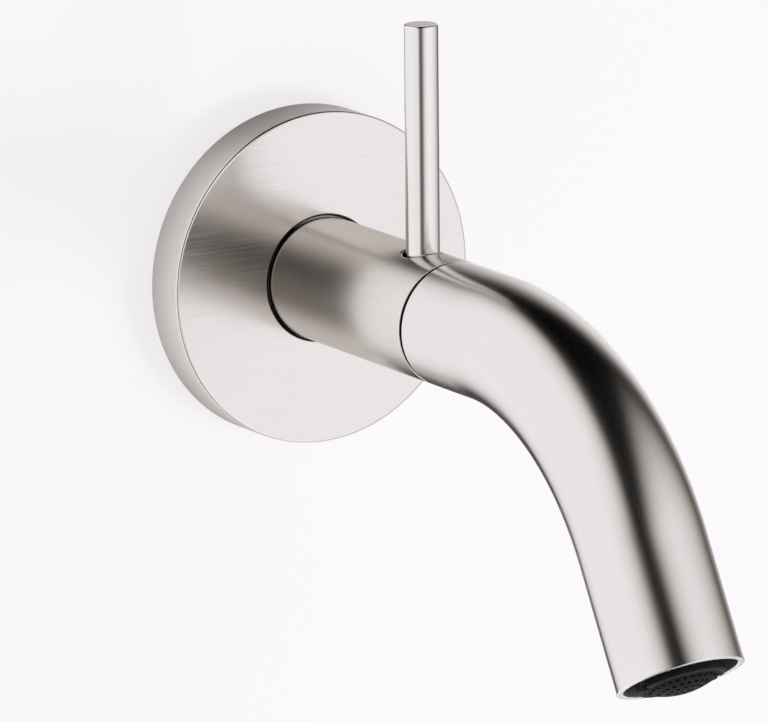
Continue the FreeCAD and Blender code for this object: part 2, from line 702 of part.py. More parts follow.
def slot_rim(edge):
    """True for the edges where the slot meets the tube's outer face."""
    box = edge.BoundBox
    near = abs(box.Center.y + LEVER_STATION) < LEVER_R + SLOT_FIT + 1
    small = box.YLength < 3 * LEVER_R and box.XLength < 3 * LEVER_R
    points = edge.discretize(5)
    outer = all(abs(math.hypot(p.x, p.z) - TUBE_R) < 0.01 for p in points)
    return near and small and outer


def lever():
    """Upright rod with a threaded foot."""
    c = LEVER_CHAMFER
    end = SHAFT_R + 0.9
    corners = [(end, 0), (end, LEVER_STUD_R - 0.5),
               (end + 0.5, LEVER_STUD_R), (LEVER_SEAT, LEVER_STUD_R),
               (LEVER_SEAT, LEVER_R), (LEVER_TOP - c, LEVER_R), (LEVER_TOP, LEVER_R - c),
               (LEVER_TOP, 0)]
    points = [Vector(r, -LEVER_STATION, z) for z, r in corners]
    face = Part.Face(Part.makePolygon(points + points[:1]))
    return face.revolve(Vector(0, -LEVER_STATION, 0), Vector(0, 0, 1), 360)


def glide_ring(start):
    """Split plastic ring that the sleeve turns on."""
    r = SLEEVE_BORE_R - GLIDE_FIT
    band = ring(r, r - GLIDE_T, start, start + GLIDE_W)
    return band.cut(Part.makeBox(0.8, GLIDE_W + 2, 6, Vector(-0.4, -start - GLIDE_W - 1, -r - 1)))


# Spout and outlet

def front_plug():
    """Screwed plug with a hexagon socket; keeps water out of the hub space."""
    s0 = PLUG_S0
    s1 = PLUG_S1
    g0 = (s0 + s1 - PLUG_RING_W) / 2
    g1 = g0 + PLUG_RING_W
    floor = FRONT_BORE_R - PLUG_GROOVE
    plug = turned([
        (s0, 0), (s0, FRONT_BORE_R), (g0, FRONT_BORE_R), (g0, floor),
        (g1, floor), (g1, FRONT_BORE_R), (s1 - 0.4, FRONT_BORE_R),
        (s1, FRONT_BORE_R - 0.4), (s1, 0),
    ])
    return plug.cut(hex_bar(8.0, s1 - 3, s1 + 1))


def plug_ring():
    """O-ring in the plug's groove."""
    s0 = (PLUG_S0 + PLUG_S1 - PLUG_RING_W) / 2
    return o_ring(FRONT_BORE_R, FRONT_BORE_R - PLUG_GROOVE, s0, s0 + PLUG_RING_W)


def spout_tube():
    """Bent tube: straight, bend, straight run, square-cut mouth with a broken edge."""
    e = EDGE_BREAK
    straight = turned([
        (SPOUT_REAR, SPOUT_BORE_R), (BEND_START, SPOUT_BORE_R), (BEND_START, TUBE_R),
        (SPOUT_REAR + e, TUBE_R), (SPOUT_REAR, TUBE_R - e),
    ])
    outer = Part.Wire(Part.makeCircle(TUBE_R, Vector(0, -BEND_START, 0), AXIS_OUT))
    inner = Part.Wire(Part.makeCircle(SPOUT_BORE_R, Vector(0, -BEND_START, 0), AXIS_OUT))
    section = Part.Face(outer).cut(Part.Face(inner))
    bend = section.revolve(Vector(0, -BEND_START, -SPOUT_BEND_R), Vector(1, 0, 0),
                           SPOUT_BEND_DEG)
    run = at_mouth(turned([
        (-SPOUT_RUN, SPOUT_BORE_R), (-0.3, SPOUT_BORE_R), (0, SPOUT_BORE_R + 0.3),
        (0, TUBE_R - 0.2), (-0.2, TUBE_R), (-SPOUT_RUN, TUBE_R),
    ]))
    tube = straight.fuse([bend, run]).removeSplitter()
    return tube.cut(grub_hole())


def grub_hole():
    """Tapped hole under the spout's straight for the locking screw."""
    return Part.makeCylinder(GRUB_R, TUBE_R - SPIGOT_R + 2,
                             Vector(0, -BARREL_END - GRUB_STEP, -TUBE_R - 1), Vector(0, 0, 1))


def spout_bush():
    """Brass bush soldered in the spout's rear end; slides over the spigot."""
    bush = turned([
        (BARREL_END, SPIGOT_R + SPIGOT_FIT), (SPIGOT_END - 1, SPIGOT_R + SPIGOT_FIT),
        (SPIGOT_END + 1, SPOUT_BORE_R - 1.2), (SPIGOT_END + 1, SPOUT_BORE_R),
        (BARREL_END, SPOUT_BORE_R),
    ])
    return bush.cut(grub_hole())


def spigot_rings():
    """Two O-rings in the spigot's grooves."""
    rings = []
    for step in (SPIGOT_RING_FIRST, SPIGOT_RING_SECOND):
        s0 = BARREL_END + step - SPIGOT_RING_SECTION / 2
        rings.append(o_ring(SPIGOT_R + SPIGOT_FIT, SPIGOT_R - SPIGOT_GROOVE, s0,
                            s0 + SPIGOT_RING_SECTION))
    return Part.makeCompound(rings)


def spout_grub_screw():
    """Hexagon-socket locking screw, sunk in the underside of the spout."""
    y = -BARREL_END - GRUB_STEP
    top = -SPIGOT_R
    low = -TUBE_R + GRUB_SUNK
    screw = Part.makeCylinder(GRUB_R, top - low, Vector(0, y, low), Vector(0, 0, 1))
    point = Part.makeCone(GRUB_R, 1.0, 1.4, Vector(0, y, top), Vector(0, 0, 1))
    r = 2.5 / math.sqrt(3)
    corners = [Vector(r * math.cos(math.radians(60 * i)),
                      y + r * math.sin(math.radians(60 * i)), low - 1)
               for i in range(6)]
    socket = Part.Face(Part.makePolygon(corners + corners[:1])).extrude(Vector(0, 0, 3.2))
    return screw.fuse(point).removeSplitter().cut(socket)


def aerator_bush():
    """Threaded ring soldered inside the mouth; the aerator screws into it."""
    return at_mouth(turned([
        (BUSH_OUT - BUSH_LEN, AERATOR_THREAD_R), (BUSH_OUT, AERATOR_THREAD_R),
        (BUSH_OUT, SPOUT_BORE_R), (BUSH_OUT - BUSH_LEN, SPOUT_BORE_R),
    ]))


def aerator_housing():
    """Screwed outer shell of the aerator with two coin notches in its rim."""
    shell = turned([
        (AERATOR_TAIL, AERATOR_BORE_R - AERATOR_WALL),
        (AERATOR_TAIL + 1.2, AERATOR_BORE_R - AERATOR_WALL),
        (AERATOR_TAIL + 1.2, AERATOR_BORE_R), (AERATOR_RIM_OUT, AERATOR_BORE_R),
        (AERATOR_RIM_OUT, AERATOR_RIM_R - AERATOR_RIM_BREAK),
        (AERATOR_RIM_OUT - AERATOR_RIM_BREAK, AERATOR_RIM_R),
        (BUSH_OUT, AERATOR_RIM_R), (BUSH_OUT, AERATOR_THREAD_R),
        (AERATOR_TAIL, AERATOR_THREAD_R),
    ])
    for side in (-1, 1):
        x = side * (AERATOR_RIM_R - 1.4)
        notch = Part.makeBox(5, NOTCH_D + 1, NOTCH_W,
                             Vector(x - 2.5, -AERATOR_RIM_OUT - 1, -NOTCH_W / 2))
        shell = shell.cut(notch)
    return at_mouth(shell)


def hole_field():
    """Centres of the face's holes: one in the middle and rings of ever more round it."""
    centres = [(0.0, 0.0)]
    for k in range(1, HOLE_RINGS + 1):
        count = HOLES_ADDED_PER_RING * k
        centres += [on_circle(HOLE_RING_STEP * k, 360.0 / count * i) for i in range(count)]
    return centres


def ball_cap(s_top, rise, radius):
    """Ball whose cap of the given rise and radius ends at the top station."""
    ball = (radius ** 2 + rise ** 2) / (2 * rise)
    return ball, s_top - ball


def aerator_face():
    """Domed outlet face with rings of small round holes, and its skirt."""
    s0 = FACE_STATION - FACE_SKIRT
    s1 = FACE_STATION + FACE_DOME
    ball, middle = ball_cap(s1, FACE_DOME, FACE_R)
    dome = rod(FACE_R, s0, s1).common(Part.makeSphere(ball, Vector(0, -middle, 0)))
    inside = Part.makeSphere(ball - FACE_T, Vector(0, -middle, 0))
    face = dome.cut(rod(FACE_R - FACE_WALL, s0 - 1, s1).common(inside))
    drills = [rod(HOLE_R, FACE_STATION - FACE_T, s1 + 1, x, z) for x, z in hole_field()]
    return at_mouth(face.cut(Part.makeCompound(drills)))


def aerator_mixer():
    """Inner mixing stage: a plate with a ring of slots and a hub."""
    s1 = FACE_STATION - FACE_SKIRT
    s0 = AERATOR_TAIL + 1.2
    wide = AERATOR_BORE_R - 0.05
    plate = turned([
        (s0, 0), (s0, wide), (s1, wide), (s1, wide - 2), (s0 + 2, wide - 2),
        (s0 + 2, 3), (s1 - 0.6, 2), (s1 - 0.6, 0),
    ])
    for i in range(8):
        plate = plate.cut(sector(4.5, wide - 3, s0 - 1, s0 + 3, 45 * i, 45 * i + 24))
    return at_mouth(plate)


def aerator_seal():
    """Flat washer behind the aerator, on the bush's inner step."""
    return at_mouth(ring(AERATOR_THREAD_R, AERATOR_BORE_R - 2.4, AERATOR_TAIL - WASHER_T,
                         AERATOR_TAIL))


NODES = {
    "wall_flange": wall_flange,
    "wall_gasket": wall_gasket,
    "flange_o_ring": flange_ring,
    "wall_plate": wall_plate,
    "wall_screws": wall_screws,
    "body_screws": body_screws,
    "valve_body": valve_body,
    "hot_tail": lambda: inlet_tail(-1),
    "cold_tail": lambda: inlet_tail(1),
    "tail_o_rings": tail_rings,
    "inlet_strainers": inlet_strainers,
    "cartridge_body": cartridge_body,
    "cartridge_seals": cartridge_seals,
    "fixed_disc": fixed_disc,
    "moving_disc": moving_disc,
    "cartridge_spindle": cartridge_spindle,
    "spindle_o_ring": spindle_ring,
    "cartridge_nut": cartridge_nut,
    "lever_hub": lever_hub,
    "hub_screw": hub_screw,
    "control_sleeve": control_sleeve,
    "lever": lever,
    "rear_glide_ring": lambda: glide_ring(REAR_GLIDE),
    "front_glide_ring": lambda: glide_ring(FRONT_GLIDE),
    "front_plug": front_plug,
    "plug_o_ring": plug_ring,
    "spout_tube": spout_tube,
    "spout_bush": spout_bush,
    "spigot_o_rings": spigot_rings,
    "spout_grub_screw": spout_grub_screw,
    "aerator_bush": aerator_bush,
    "aerator_housing": aerator_housing,
    "aerator_face": aerator_face,
    "aerator_mixer": aerator_mixer,
    "aerator_seal": aerator_seal,
}


os.makedirs("parts", exist_ok=True)
for name, make in NODES.items():
    shape = make()
    solids = len(shape.Solids)
    shape.exportStep("parts/" + name + ".step")
    print(name, solids, "solid(s)", round(shape.Volume, 1), "mm3", shape.isValid())
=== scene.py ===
# %% [markdown]
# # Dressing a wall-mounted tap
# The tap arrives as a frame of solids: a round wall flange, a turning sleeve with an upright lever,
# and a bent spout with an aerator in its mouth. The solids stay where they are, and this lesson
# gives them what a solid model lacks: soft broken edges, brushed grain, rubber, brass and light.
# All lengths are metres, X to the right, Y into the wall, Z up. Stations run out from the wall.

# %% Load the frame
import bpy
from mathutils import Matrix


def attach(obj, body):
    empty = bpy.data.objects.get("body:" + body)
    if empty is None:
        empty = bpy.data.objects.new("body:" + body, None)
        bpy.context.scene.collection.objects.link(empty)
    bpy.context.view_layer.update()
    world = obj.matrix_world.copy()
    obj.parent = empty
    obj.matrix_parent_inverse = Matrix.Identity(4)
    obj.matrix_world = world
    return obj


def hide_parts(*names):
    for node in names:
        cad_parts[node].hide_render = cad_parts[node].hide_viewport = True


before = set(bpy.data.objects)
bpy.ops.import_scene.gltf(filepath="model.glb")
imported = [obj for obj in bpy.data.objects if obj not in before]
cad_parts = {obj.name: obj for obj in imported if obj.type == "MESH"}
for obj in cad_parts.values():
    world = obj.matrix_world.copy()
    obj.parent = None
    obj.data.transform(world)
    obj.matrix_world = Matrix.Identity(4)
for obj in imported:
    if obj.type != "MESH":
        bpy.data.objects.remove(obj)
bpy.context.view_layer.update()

# %% Working words
import bpy
import bmesh
import math
from mathutils import Matrix, Vector

MM = 0.001
TUBE_R = 18.5                            # outside of sleeve and spout, in millimetres
SLEEVE_BORE, SPOUT_BORE = 16.6, 16.5
LEVER_AT = 71.75                         # station of the lever's own axis
scene = bpy.context.scene
print("tube", 2 * TUBE_R, "mm across, lever", LEVER_AT, "mm out from the wall")

# %% [markdown]
# ## Finishes
# The tap is satin nickel over brass, with copper, rubber, plastic and ceramic inside. A finish is a
# small chain of nodes: a pattern says how high and how patchy the surface is at each point, the
# height becomes a bump, and the patches shift colour and roughness a little. It could all be
# painted by hand, but a chain of nodes holds its detail at any distance. The helpers below keep
# such a chain short.

# %% Placing a node in one line
def put(tree, kind, sockets=None, **settings):
    """Adds a node; values go on its sockets, and other nodes' sockets are linked to them."""
    made = tree.nodes.new(kind)
    for key, value in settings.items():
        setattr(made, key, value)
    for socket, value in (sockets or {}).items():
        if isinstance(value, bpy.types.NodeSocket):
            tree.links.new(value, made.inputs[socket])
        else:
            made.inputs[socket].default_value = value
    return made

# %% Arithmetic, mixing and coordinates, one step each
def figure(tree, operation, a, b=0.0):
    return put(tree, "ShaderNodeMath", {0: a, 1: b}, operation=operation).outputs[0]


def plus(tree, a, b):
    return figure(tree, "ADD", a, b)


def minus(tree, a, b):
    return figure(tree, "SUBTRACT", a, b)


def times(tree, a, b):
    return figure(tree, "MULTIPLY", a, b)


def spread(tree, value, low, high, to_low=0.0, to_high=1.0, curve="LINEAR"):
    """Carries a value from one span to another."""
    return put(tree, "ShaderNodeMapRange",
               {"Value": value, "From Min": low, "From Max": high,
                "To Min": to_low, "To Max": to_high}, interpolation_type=curve).outputs[0]


def tint(tree, share, colour, other):
    """Mixes two colours."""
    return put(tree, "ShaderNodeMix", {0: share, 6: colour, 7: other}, data_type="RGBA").outputs[2]


def noise(tree, vector, scale, detail=2.0):
    """Soft random patches."""
    return put(tree, "ShaderNodeTexNoise",
               {"Vector": vector, "Scale": scale, "Detail": detail}).outputs[0]


def stretched(tree, vector, scale):
    """The same coordinates, squeezed differently along each axis."""
    return put(tree, "ShaderNodeMapping", {"Vector": vector, "Scale": scale}).outputs[0]


def split(tree, vector):
    return put(tree, "ShaderNodeSeparateXYZ", {0: vector}).outputs


def joined(tree, x, y, z):
    return put(tree, "ShaderNodeCombineXYZ", {0: x, 1: y, 2: z}).outputs[0]

# %% [markdown]
# ## Patterns
# Brushing leaves hair-fine streaks that follow the belt, so its coordinates come from the piece's
# own grain map, where the first axis runs along the streaks. Turned brass shows rings across its
# axis, drawn pipe has lines along it, moulded plastic is finely mottled, zinc freezes in flat
# crystals and foam has open pores. These read the object's own coordinates. Photographs of each
# surface could be wrapped round instead, but noise stretched the right way never repeats and
# needs no file.

# %% Brushed streaks: every pattern returns a height and a patchiness
def on_object(tree):
    return put(tree, "ShaderNodeTexCoord").outputs["Object"]


def brushed_streaks(tree):
    grain = put(tree, "ShaderNodeUVMap", uv_map="grain").outputs[0]
    fine = noise(tree, stretched(tree, grain, (70, 5200, 1)), 1.0, 3.0)
    broad = noise(tree, stretched(tree, grain, (30, 1500, 1)), 1.0, 2.0)
    height = plus(tree, times(tree, fine, 0.75), times(tree, broad, 0.25))
    cloud = noise(tree, on_object(tree), 38.0)
    patches = plus(tree, times(tree, broad, 0.6), times(tree, cloud, 0.4))
    return height, patches

# %% Patterns of the other stuffs
def turned_rings(tree):
    place = on_object(tree)
    rings = noise(tree, stretched(tree, place, (40, 2600, 40)), 1.0)
    return rings, noise(tree, place, 90.0)


def drawn_lines(tree):
    place = on_object(tree)
    lines = noise(tree, stretched(tree, place, (1800, 30, 1800)), 1.0)
    return lines, noise(tree, place, 120.0)


def moulded_mottle(tree):
    place = on_object(tree)
    return noise(tree, place, 2200.0, 3.0), noise(tree, place, 160.0)


def frozen_crystals(tree):
    place = on_object(tree)
    flakes = put(tree, "ShaderNodeTexVoronoi", {"Vector": place, "Scale": 260.0})
    shade = put(tree, "ShaderNodeSeparateColor", {0: flakes.outputs["Color"]}).outputs[0]
    return noise(tree, place, 900.0), shade


def open_pores(tree):
    place = on_object(tree)
    cells = put(tree, "ShaderNodeTexVoronoi", {"Vector": place, "Scale": 1500.0})
    return cells.outputs["Distance"], noise(tree, place, 300.0)

# %% [markdown]
# ## Painted shade and highlights on part of a piece
# The brass valve body is painted near black where it shows through the two gaps, as painted shade
# for the deep gaps, with a painted highlight along its top and bottom. The flange's side gets
# painted shade that deepens towards the wall. Each could be a material of its own on some faces,
# but the solids carried over keep their faces, so each is a mask worked out from the place on the
# object.

# %% Masks for painted shade and painted highlight
# Colours below: painted shade for the valve body in the gaps, a painted highlight for its top and
# bottom, painted shade for the flange's side near the wall
GAP_SHADE, NECK_HIGHLIGHT, RIM_SHADE = (0.035, 0.026, 0.022), (0.85, 0.82, 0.78), (0.355, 0.33, 0.30)
GAP_SHADE_OUTSIDE_R, GAP_SHADE_IN_FRONT_OF_Y = 0.0151, -0.0098
RIM_SHADE_FROM_Y, RIM_SHADE_TO_Y, RIM_SHADE_SHARE = -0.0135, -0.0005, 0.68


# mask of painted shade: the valve body where it shows through the two gaps
def outside_of_body(tree):
    x, y, z = split(tree, on_object(tree))
    off = joined(tree, x, 0.0, z)
    off = put(tree, "ShaderNodeVectorMath", {0: off}, operation="LENGTH").outputs["Value"]
    return times(tree, figure(tree, "GREATER_THAN", off, GAP_SHADE_OUTSIDE_R),
                 figure(tree, "LESS_THAN", y, GAP_SHADE_IN_FRONT_OF_Y))


# mask of a painted highlight along the top and bottom of the valve body
def crest_and_foot(tree):
    z = split(tree, on_object(tree))[2]
    high = spread(tree, figure(tree, "ABSOLUTE", z), 0.0155, 0.0186, 0.0, 1.0, "SMOOTHSTEP")
    return times(tree, outside_of_body(tree), high)


# mask of painted shade on the flange's side, deepening towards the wall
def near_wall(tree):
    y = split(tree, on_object(tree))[1]
    return spread(tree, y, RIM_SHADE_FROM_Y, RIM_SHADE_TO_Y, 0.0, RIM_SHADE_SHARE)

# %% [markdown]
# ## One recipe for every finish
# Corners are rubbed brighter and smoother in use, so a wear mask lightens them. The mask has two
# sources. Pieces made here carry a value called worn on the vertices of their broken edges, and
# the attribute's alpha says that it is there. The solids carried over have no such value, so
# there the mask comes from pointiness, which is high on outside corners. A second value, bore,
# marks the inside of a tube, which is painted near black there as painted shade. One function for
# all finishes was chosen over a hand-built tree for each, so that they all wear in the same way.

# %% The recipe
# painted shade: faces inside a tube are painted near black
BORE_SHADE = (0.035, 0.031, 0.028)
CORNER_FROM, CORNER_TO, CORNER_WEAR = 0.53, 0.62, 0.8    # pointiness, and its share of the wear
SMOOTHED = 0.05                                          # roughness that full wear takes away
finishes = {}


def finish(slot, name, pattern, colour, other, metal, rough, swing, depth, worn, painted_light=(),
           bore_shaded=True, **extra):
    """Mixes a material from a pattern and figures, and files it under its slot."""
    made = bpy.data.materials.new(name)
    made.use_nodes = True
    tree = made.node_tree
    tree.nodes.clear()
    height, patches = pattern(tree)
    patches = spread(tree, patches, 0.3, 0.7)
    edge = put(tree, "ShaderNodeAttribute", attribute_name="worn").outputs
    corner = put(tree, "ShaderNodeNewGeometry").outputs["Pointiness"]
    corner = spread(tree, corner, CORNER_FROM, CORNER_TO, 0.0, CORNER_WEAR)
    corner = times(tree, corner, minus(tree, 1.0, edge["Alpha"]))
    rubbed = times(tree, figure(tree, "MAXIMUM", edge["Fac"], corner),
                   spread(tree, height, 0.25, 0.6, 0.3, 0.75))
    base = tint(tree, rubbed, tint(tree, patches, (*colour, 1), (*other, 1)), (*worn, 1))
    if bore_shaded:
        # painted shade inside a tube
        bore = put(tree, "ShaderNodeAttribute", attribute_name="bore").outputs["Fac"]
        base = tint(tree, bore, base, (*BORE_SHADE, 1))
    # layers of painted shade and painted highlight, each on its own mask
    for share, layer in painted_light:
        base = tint(tree, share(tree), base, (*layer, 1))
    roughness = minus(tree, spread(tree, patches, 0, 1, rough - swing, rough + swing),
                      times(tree, rubbed, SMOOTHED))
    bump = put(tree, "ShaderNodeBump", {"Strength": 1.0, "Distance": depth, "Height": height})
    shader = put(tree, "ShaderNodeBsdfPrincipled",
                 {"Base Color": base, "Metallic": metal, "Roughness": roughness,
                  "Normal": bump.outputs[0], **extra})
    put(tree, "ShaderNodeOutputMaterial", {"Surface": shader.outputs[0]})
    finishes[slot] = made

# %% [markdown]
# ## Satin nickel and the other metals
# The nickel is warm and pale. Each visible piece was brushed on its own machine, so sleeve, flange
# and lever differ a little in tone and gloss, and one shared nickel would look too even. The mouth
# is painted a dark grey inside as painted shade, and the brass bush behind the aerator near black
# as painted shade for its recess. Screws, plate, brass and copper are plain standard stuff.

# %% Mix the metals
SATIN, SATIN_DEEP, SATIN_WORN = (0.80, 0.765, 0.728), (0.78, 0.745, 0.706), (0.87, 0.845, 0.82)
BRASS, BRASS_DEEP, BRASS_WORN = (0.76, 0.55, 0.27), (0.68, 0.47, 0.22), (0.92, 0.76, 0.45)
finish("brushed_shell", "satin_nickel", brushed_streaks, SATIN, SATIN_DEEP, 1.0, 0.20, 0.02, 1.6e-6,
       SATIN_WORN)
finish("brushed_sleeve", "satin_nickel_sleeve", brushed_streaks, (0.79, 0.742, 0.687),
       (0.76, 0.712, 0.657), 1.0, 0.215, 0.02, 0.9e-6, SATIN_WORN,
       **{"Specular Tint": (0.72, 0.71, 0.70, 1)})
finish("brushed_face", "satin_nickel_face", brushed_streaks, (0.79, 0.757, 0.722),
       (0.765, 0.732, 0.697), 1.0, 0.21, 0.05, 1.8e-6, SATIN_WORN)
# painted shade: the inside of the mouth is a dark grey
finish("mouth_bore", "bore_painted_shade", brushed_streaks, (0.12, 0.116, 0.112), (0.09, 0.086, 0.082), 0.2,
       0.45, 0.06, 4e-6, (0.18, 0.17, 0.165), bore_shaded=False)
# the side of the flange, with painted shade that darkens it towards the wall
finish("brushed_rim", "satin_nickel_rim", brushed_streaks, (0.76, 0.72, 0.675), (0.69, 0.65, 0.605),
       0.45, 0.44, 0.06, 4.0e-6, (0.72, 0.70, 0.67), painted_light=[(near_wall, RIM_SHADE)])
finish("brushed_lever", "satin_nickel_rod", brushed_streaks, (0.80, 0.772, 0.745), SATIN, 1.0, 0.18,
       0.02, 1.4e-6, SATIN_WORN)
finish("stainless_screw", "bright_steel", turned_rings, (0.63, 0.62, 0.61), (0.55, 0.55, 0.55), 1.0,
       0.28, 0.06, 4e-6, (0.85, 0.85, 0.85))
finish("zinc_steel", "zinc_plate", frozen_crystals, (0.60, 0.61, 0.62), (0.72, 0.73, 0.74), 1.0,
       0.38, 0.08, 8e-6, (0.85, 0.86, 0.87))
finish("brass", "turned_brass", turned_rings, BRASS, BRASS_DEEP, 1.0, 0.30, 0.06, 5e-6, BRASS_WORN)
# painted shade near black where the valve body shows through the gaps, with a painted highlight on
# its top and bottom
finish("brass_painted_light", "brass_painted_light", turned_rings, BRASS, BRASS_DEEP, 1.0, 0.30, 0.06, 4e-6,
       BRASS_WORN, painted_light=[(outside_of_body, GAP_SHADE), (crest_and_foot, NECK_HIGHLIGHT)])
# painted shade: the bush in the recess behind the aerator is near black
finish("brass_dark", "brass_recess_shade", turned_rings, (0.035, 0.032, 0.03), (0.022, 0.02, 0.019),
       1.0, 0.5, 0.08, 5e-6, (0.10, 0.09, 0.08))
finish("copper_tail", "drawn_copper", drawn_lines, (0.86, 0.50, 0.34), (0.70, 0.36, 0.23), 1.0,
       0.32, 0.07, 4e-6, (0.95, 0.68, 0.52))
print("metals:", ", ".join(sorted(finishes)))

# %% [markdown]
# ## Rubber, plastic and ceramic
# The seals are matt black rubber, the aerator black plastic with hardly any shine, the cartridge
# grey plastic, the glide rings white, and the two discs in the cartridge lapped ceramic. Flat
# colours would do at a distance, but a fine mottle keeps them from looking like paint.

# %% Mix the rest
finish("seal_rubber", "black_rubber", moulded_mottle, (0.018, 0.018, 0.019), (0.028, 0.028, 0.028),
       0.0, 0.62, 0.08, 1.2e-5, (0.05, 0.05, 0.05))
finish("foam", "grey_foam", open_pores, (0.20, 0.20, 0.21), (0.28, 0.28, 0.29), 0.0, 0.92, 0.05,
       1.5e-4, (0.34, 0.34, 0.35))
finish("black_plastic", "black_plastic", moulded_mottle, (0.008, 0.008, 0.009),
       (0.013, 0.013, 0.015), 0.0, 0.58, 0.07, 1.2e-5, (0.030, 0.031, 0.034),
       **{"Specular IOR Level": 0.07})
finish("cartridge_plastic", "grey_plastic", moulded_mottle, (0.36, 0.37, 0.39), (0.30, 0.31, 0.33),
       0.0, 0.48, 0.06, 8e-6, (0.50, 0.51, 0.53))
finish("glide_plastic", "white_acetal", moulded_mottle, (0.78, 0.77, 0.73), (0.70, 0.69, 0.65), 0.0,
       0.40, 0.06, 6e-6, (0.88, 0.87, 0.84))
finish("ceramic", "lapped_ceramic", moulded_mottle, (0.86, 0.84, 0.78), (0.80, 0.78, 0.71), 0.0,
       0.18, 0.04, 1e-6, (0.93, 0.92, 0.88))
print("finishes:", len(finishes))

# %% [markdown]
# ## Stock for turned pieces
# Every visible piece of this tap starts round. A lathe would cut it from a profile, and so do
# these helpers: corners given as station, radius and rounding become a closed row of points, and
# the row is carried round the axis. Real rounded corners matter more than anything else on metal,
# because each one draws its own thin line of light. A bevel modifier could round a plain tube,
# but here each point goes where it is wanted: one beside each end of a rounding keeps the flat
# faces flat under smooth shading.

# %% Rounding a profile
SUPPORT = 0.12                           # distance of the support points from the rounding


def rounded(corners, steps=4, wear=1.0):
    """Closed profile in millimetres from (station, radius, rounding); adds a wear value."""
    rows = []
    for i, (s, r, rounding) in enumerate(corners):
        here = Vector((s, r))
        before = Vector(corners[i - 1][:2]) - here
        after = Vector(corners[(i + 1) % len(corners)][:2]) - here
        reach = min(before.length, after.length)
        a, b = before.normalized(), after.normalized()
        if rounding <= 0:
            rows.append((s, r, 0.0))
            continue
        half = math.acos(max(-1, min(1, a.dot(b)))) / 2
        back = min(rounding / math.tan(half), reach * 0.45)
        size = back * math.tan(half)
        centre = here + (a + b).normalized() * (size / math.sin(half))
        start, end = here + a * back - centre, here + b * back - centre
        turn = start.angle_signed(end)
        room = min(SUPPORT, reach * 0.5 - back)
        if room > 0.01:
            rows.append((*(here + a * (back + room)), 0.15 * wear))
        for k in range(steps + 1):
            angle = -turn * k / steps
            swung = Vector((start.x * math.cos(angle) - start.y * math.sin(angle),
                            start.x * math.sin(angle) + start.y * math.cos(angle)))
            rows.append((*(centre + swung), wear if 0 < k < steps else 0.6 * wear))
        if room > 0.01:
            rows.append((*(here + b * (back + room)), 0.15 * wear))
    return rows


def stations_between(s0, s1, count):
    """Evenly spaced stations between two, without the ends."""
    return [s0 + (s1 - s0) * k / count for k in range(1, count)]

# %% [markdown]
# ## Collecting a piece
# A piece is gathered as points and faces. Each corner of a face also says where it lies on the
# grain map, in metres, along and across the brushing. Corners carry the map rather than points,
# so the grain can close round a tube without a stretched seam.

# %% Gathering points and faces
class Stock:
    """Points, faces with their place on the grain map, and wear, all for one piece."""

    def __init__(self):
        self.points, self.worn, self.faces = [], [], []

    def point(self, place, worn=0.0):
        self.points.append(Vector(place))
        self.worn.append(worn)
        return len(self.points) - 1

    def face(self, corners):
        self.faces.append(corners)

    def piece(self, name, material, place=Matrix(), bore_r=0.0):
        """Closes the gathered shape into a mesh object whose place is in its vertices."""
        mesh = bmesh.new()
        worn = mesh.verts.layers.float.new("worn")
        bore = mesh.verts.layers.float.new("bore")
        grain = mesh.loops.layers.uv.new("grain")
        verts = []
        for point, value in zip(self.points, self.worn):
            vert = mesh.verts.new(place @ (point * MM))
            vert[worn] = value
            vert[bore] = 1.0 if math.hypot(point.x, point.z) < bore_r else 0.0
            verts.append(vert)
        for corners in self.faces:
            made = mesh.faces.new([verts[c[0]] for c in corners])
            made.smooth = True
            for loop, corner in zip(made.loops, corners):
                loop[grain].uv = (corner[1] * MM, corner[2] * MM)
        bmesh.ops.remove_doubles(mesh, verts=mesh.verts, dist=1e-7)
        bmesh.ops.recalc_face_normals(mesh, faces=mesh.faces)
        data = bpy.data.meshes.new(name)
        mesh.to_mesh(data)
        open_edges = sum(1 for e in mesh.edges if not e.is_manifold)
        mesh.free()
        data.materials.append(material)
        made = bpy.data.objects.new(name, data)
        scene.collection.objects.link(made)
        print(name, len(data.polygons), "faces,", open_edges, "open edges")
        return made

# %% Carrying a profile round the axis
def around(stock, rows, columns, lengthwise, omit=(), dip=None):
    """Adds the surface of a turned piece. Columns are degrees from the top, growing to -X."""
    index = []
    for s, r, worn in rows:
        line = []
        for deg in columns:
            a = math.radians(deg)
            at = dip(s, r, deg) if dip else s
            line.append(stock.point((-r * math.sin(a), -at, r * math.cos(a)), worn))
        index.append(line)
    length = 0.0
    for i in range(len(rows)):
        s0, r0, s1, r1 = *rows[i][:2], *rows[(i + 1) % len(rows)][:2]
        step = math.hypot(s1 - s0, r1 - r0)
        side = abs(s1 - s0) > abs(r1 - r0)
        for j in range(len(columns)):
            if (i, j) in omit or (r0 < 1e-6 and r1 < 1e-6):
                continue
            corners = []
            for di, dj in ((0, 0), (0, 1), (1, 1), (1, 0)):
                ii, jj = (i + di) % len(rows), (j + dj) % len(columns)
                deg = columns[jj] + (360 if j + dj >= len(columns) else 0)
                vert = index[ii][jj]
                if side:
                    over, way = math.radians(deg) * max(r0, r1), length + step * di
                    uv = (way, over) if lengthwise else (over, way)
                else:
                    uv = (stock.points[vert].x, stock.points[vert].z)
                corners.append((vert, *uv))
            stock.face(corners)
        length += step
    return index

# %% A whole piece from one profile
def every(step):
    """Columns of a full turn, in degrees."""
    return [step * k for k in range(round(360 / step))]


def turned(name, material, rows, columns, lengthwise=False, place=Matrix(), dip=None):
    stock = Stock()
    around(stock, rows, columns, lengthwise, dip=dip)
    return stock.piece(name, material, place)

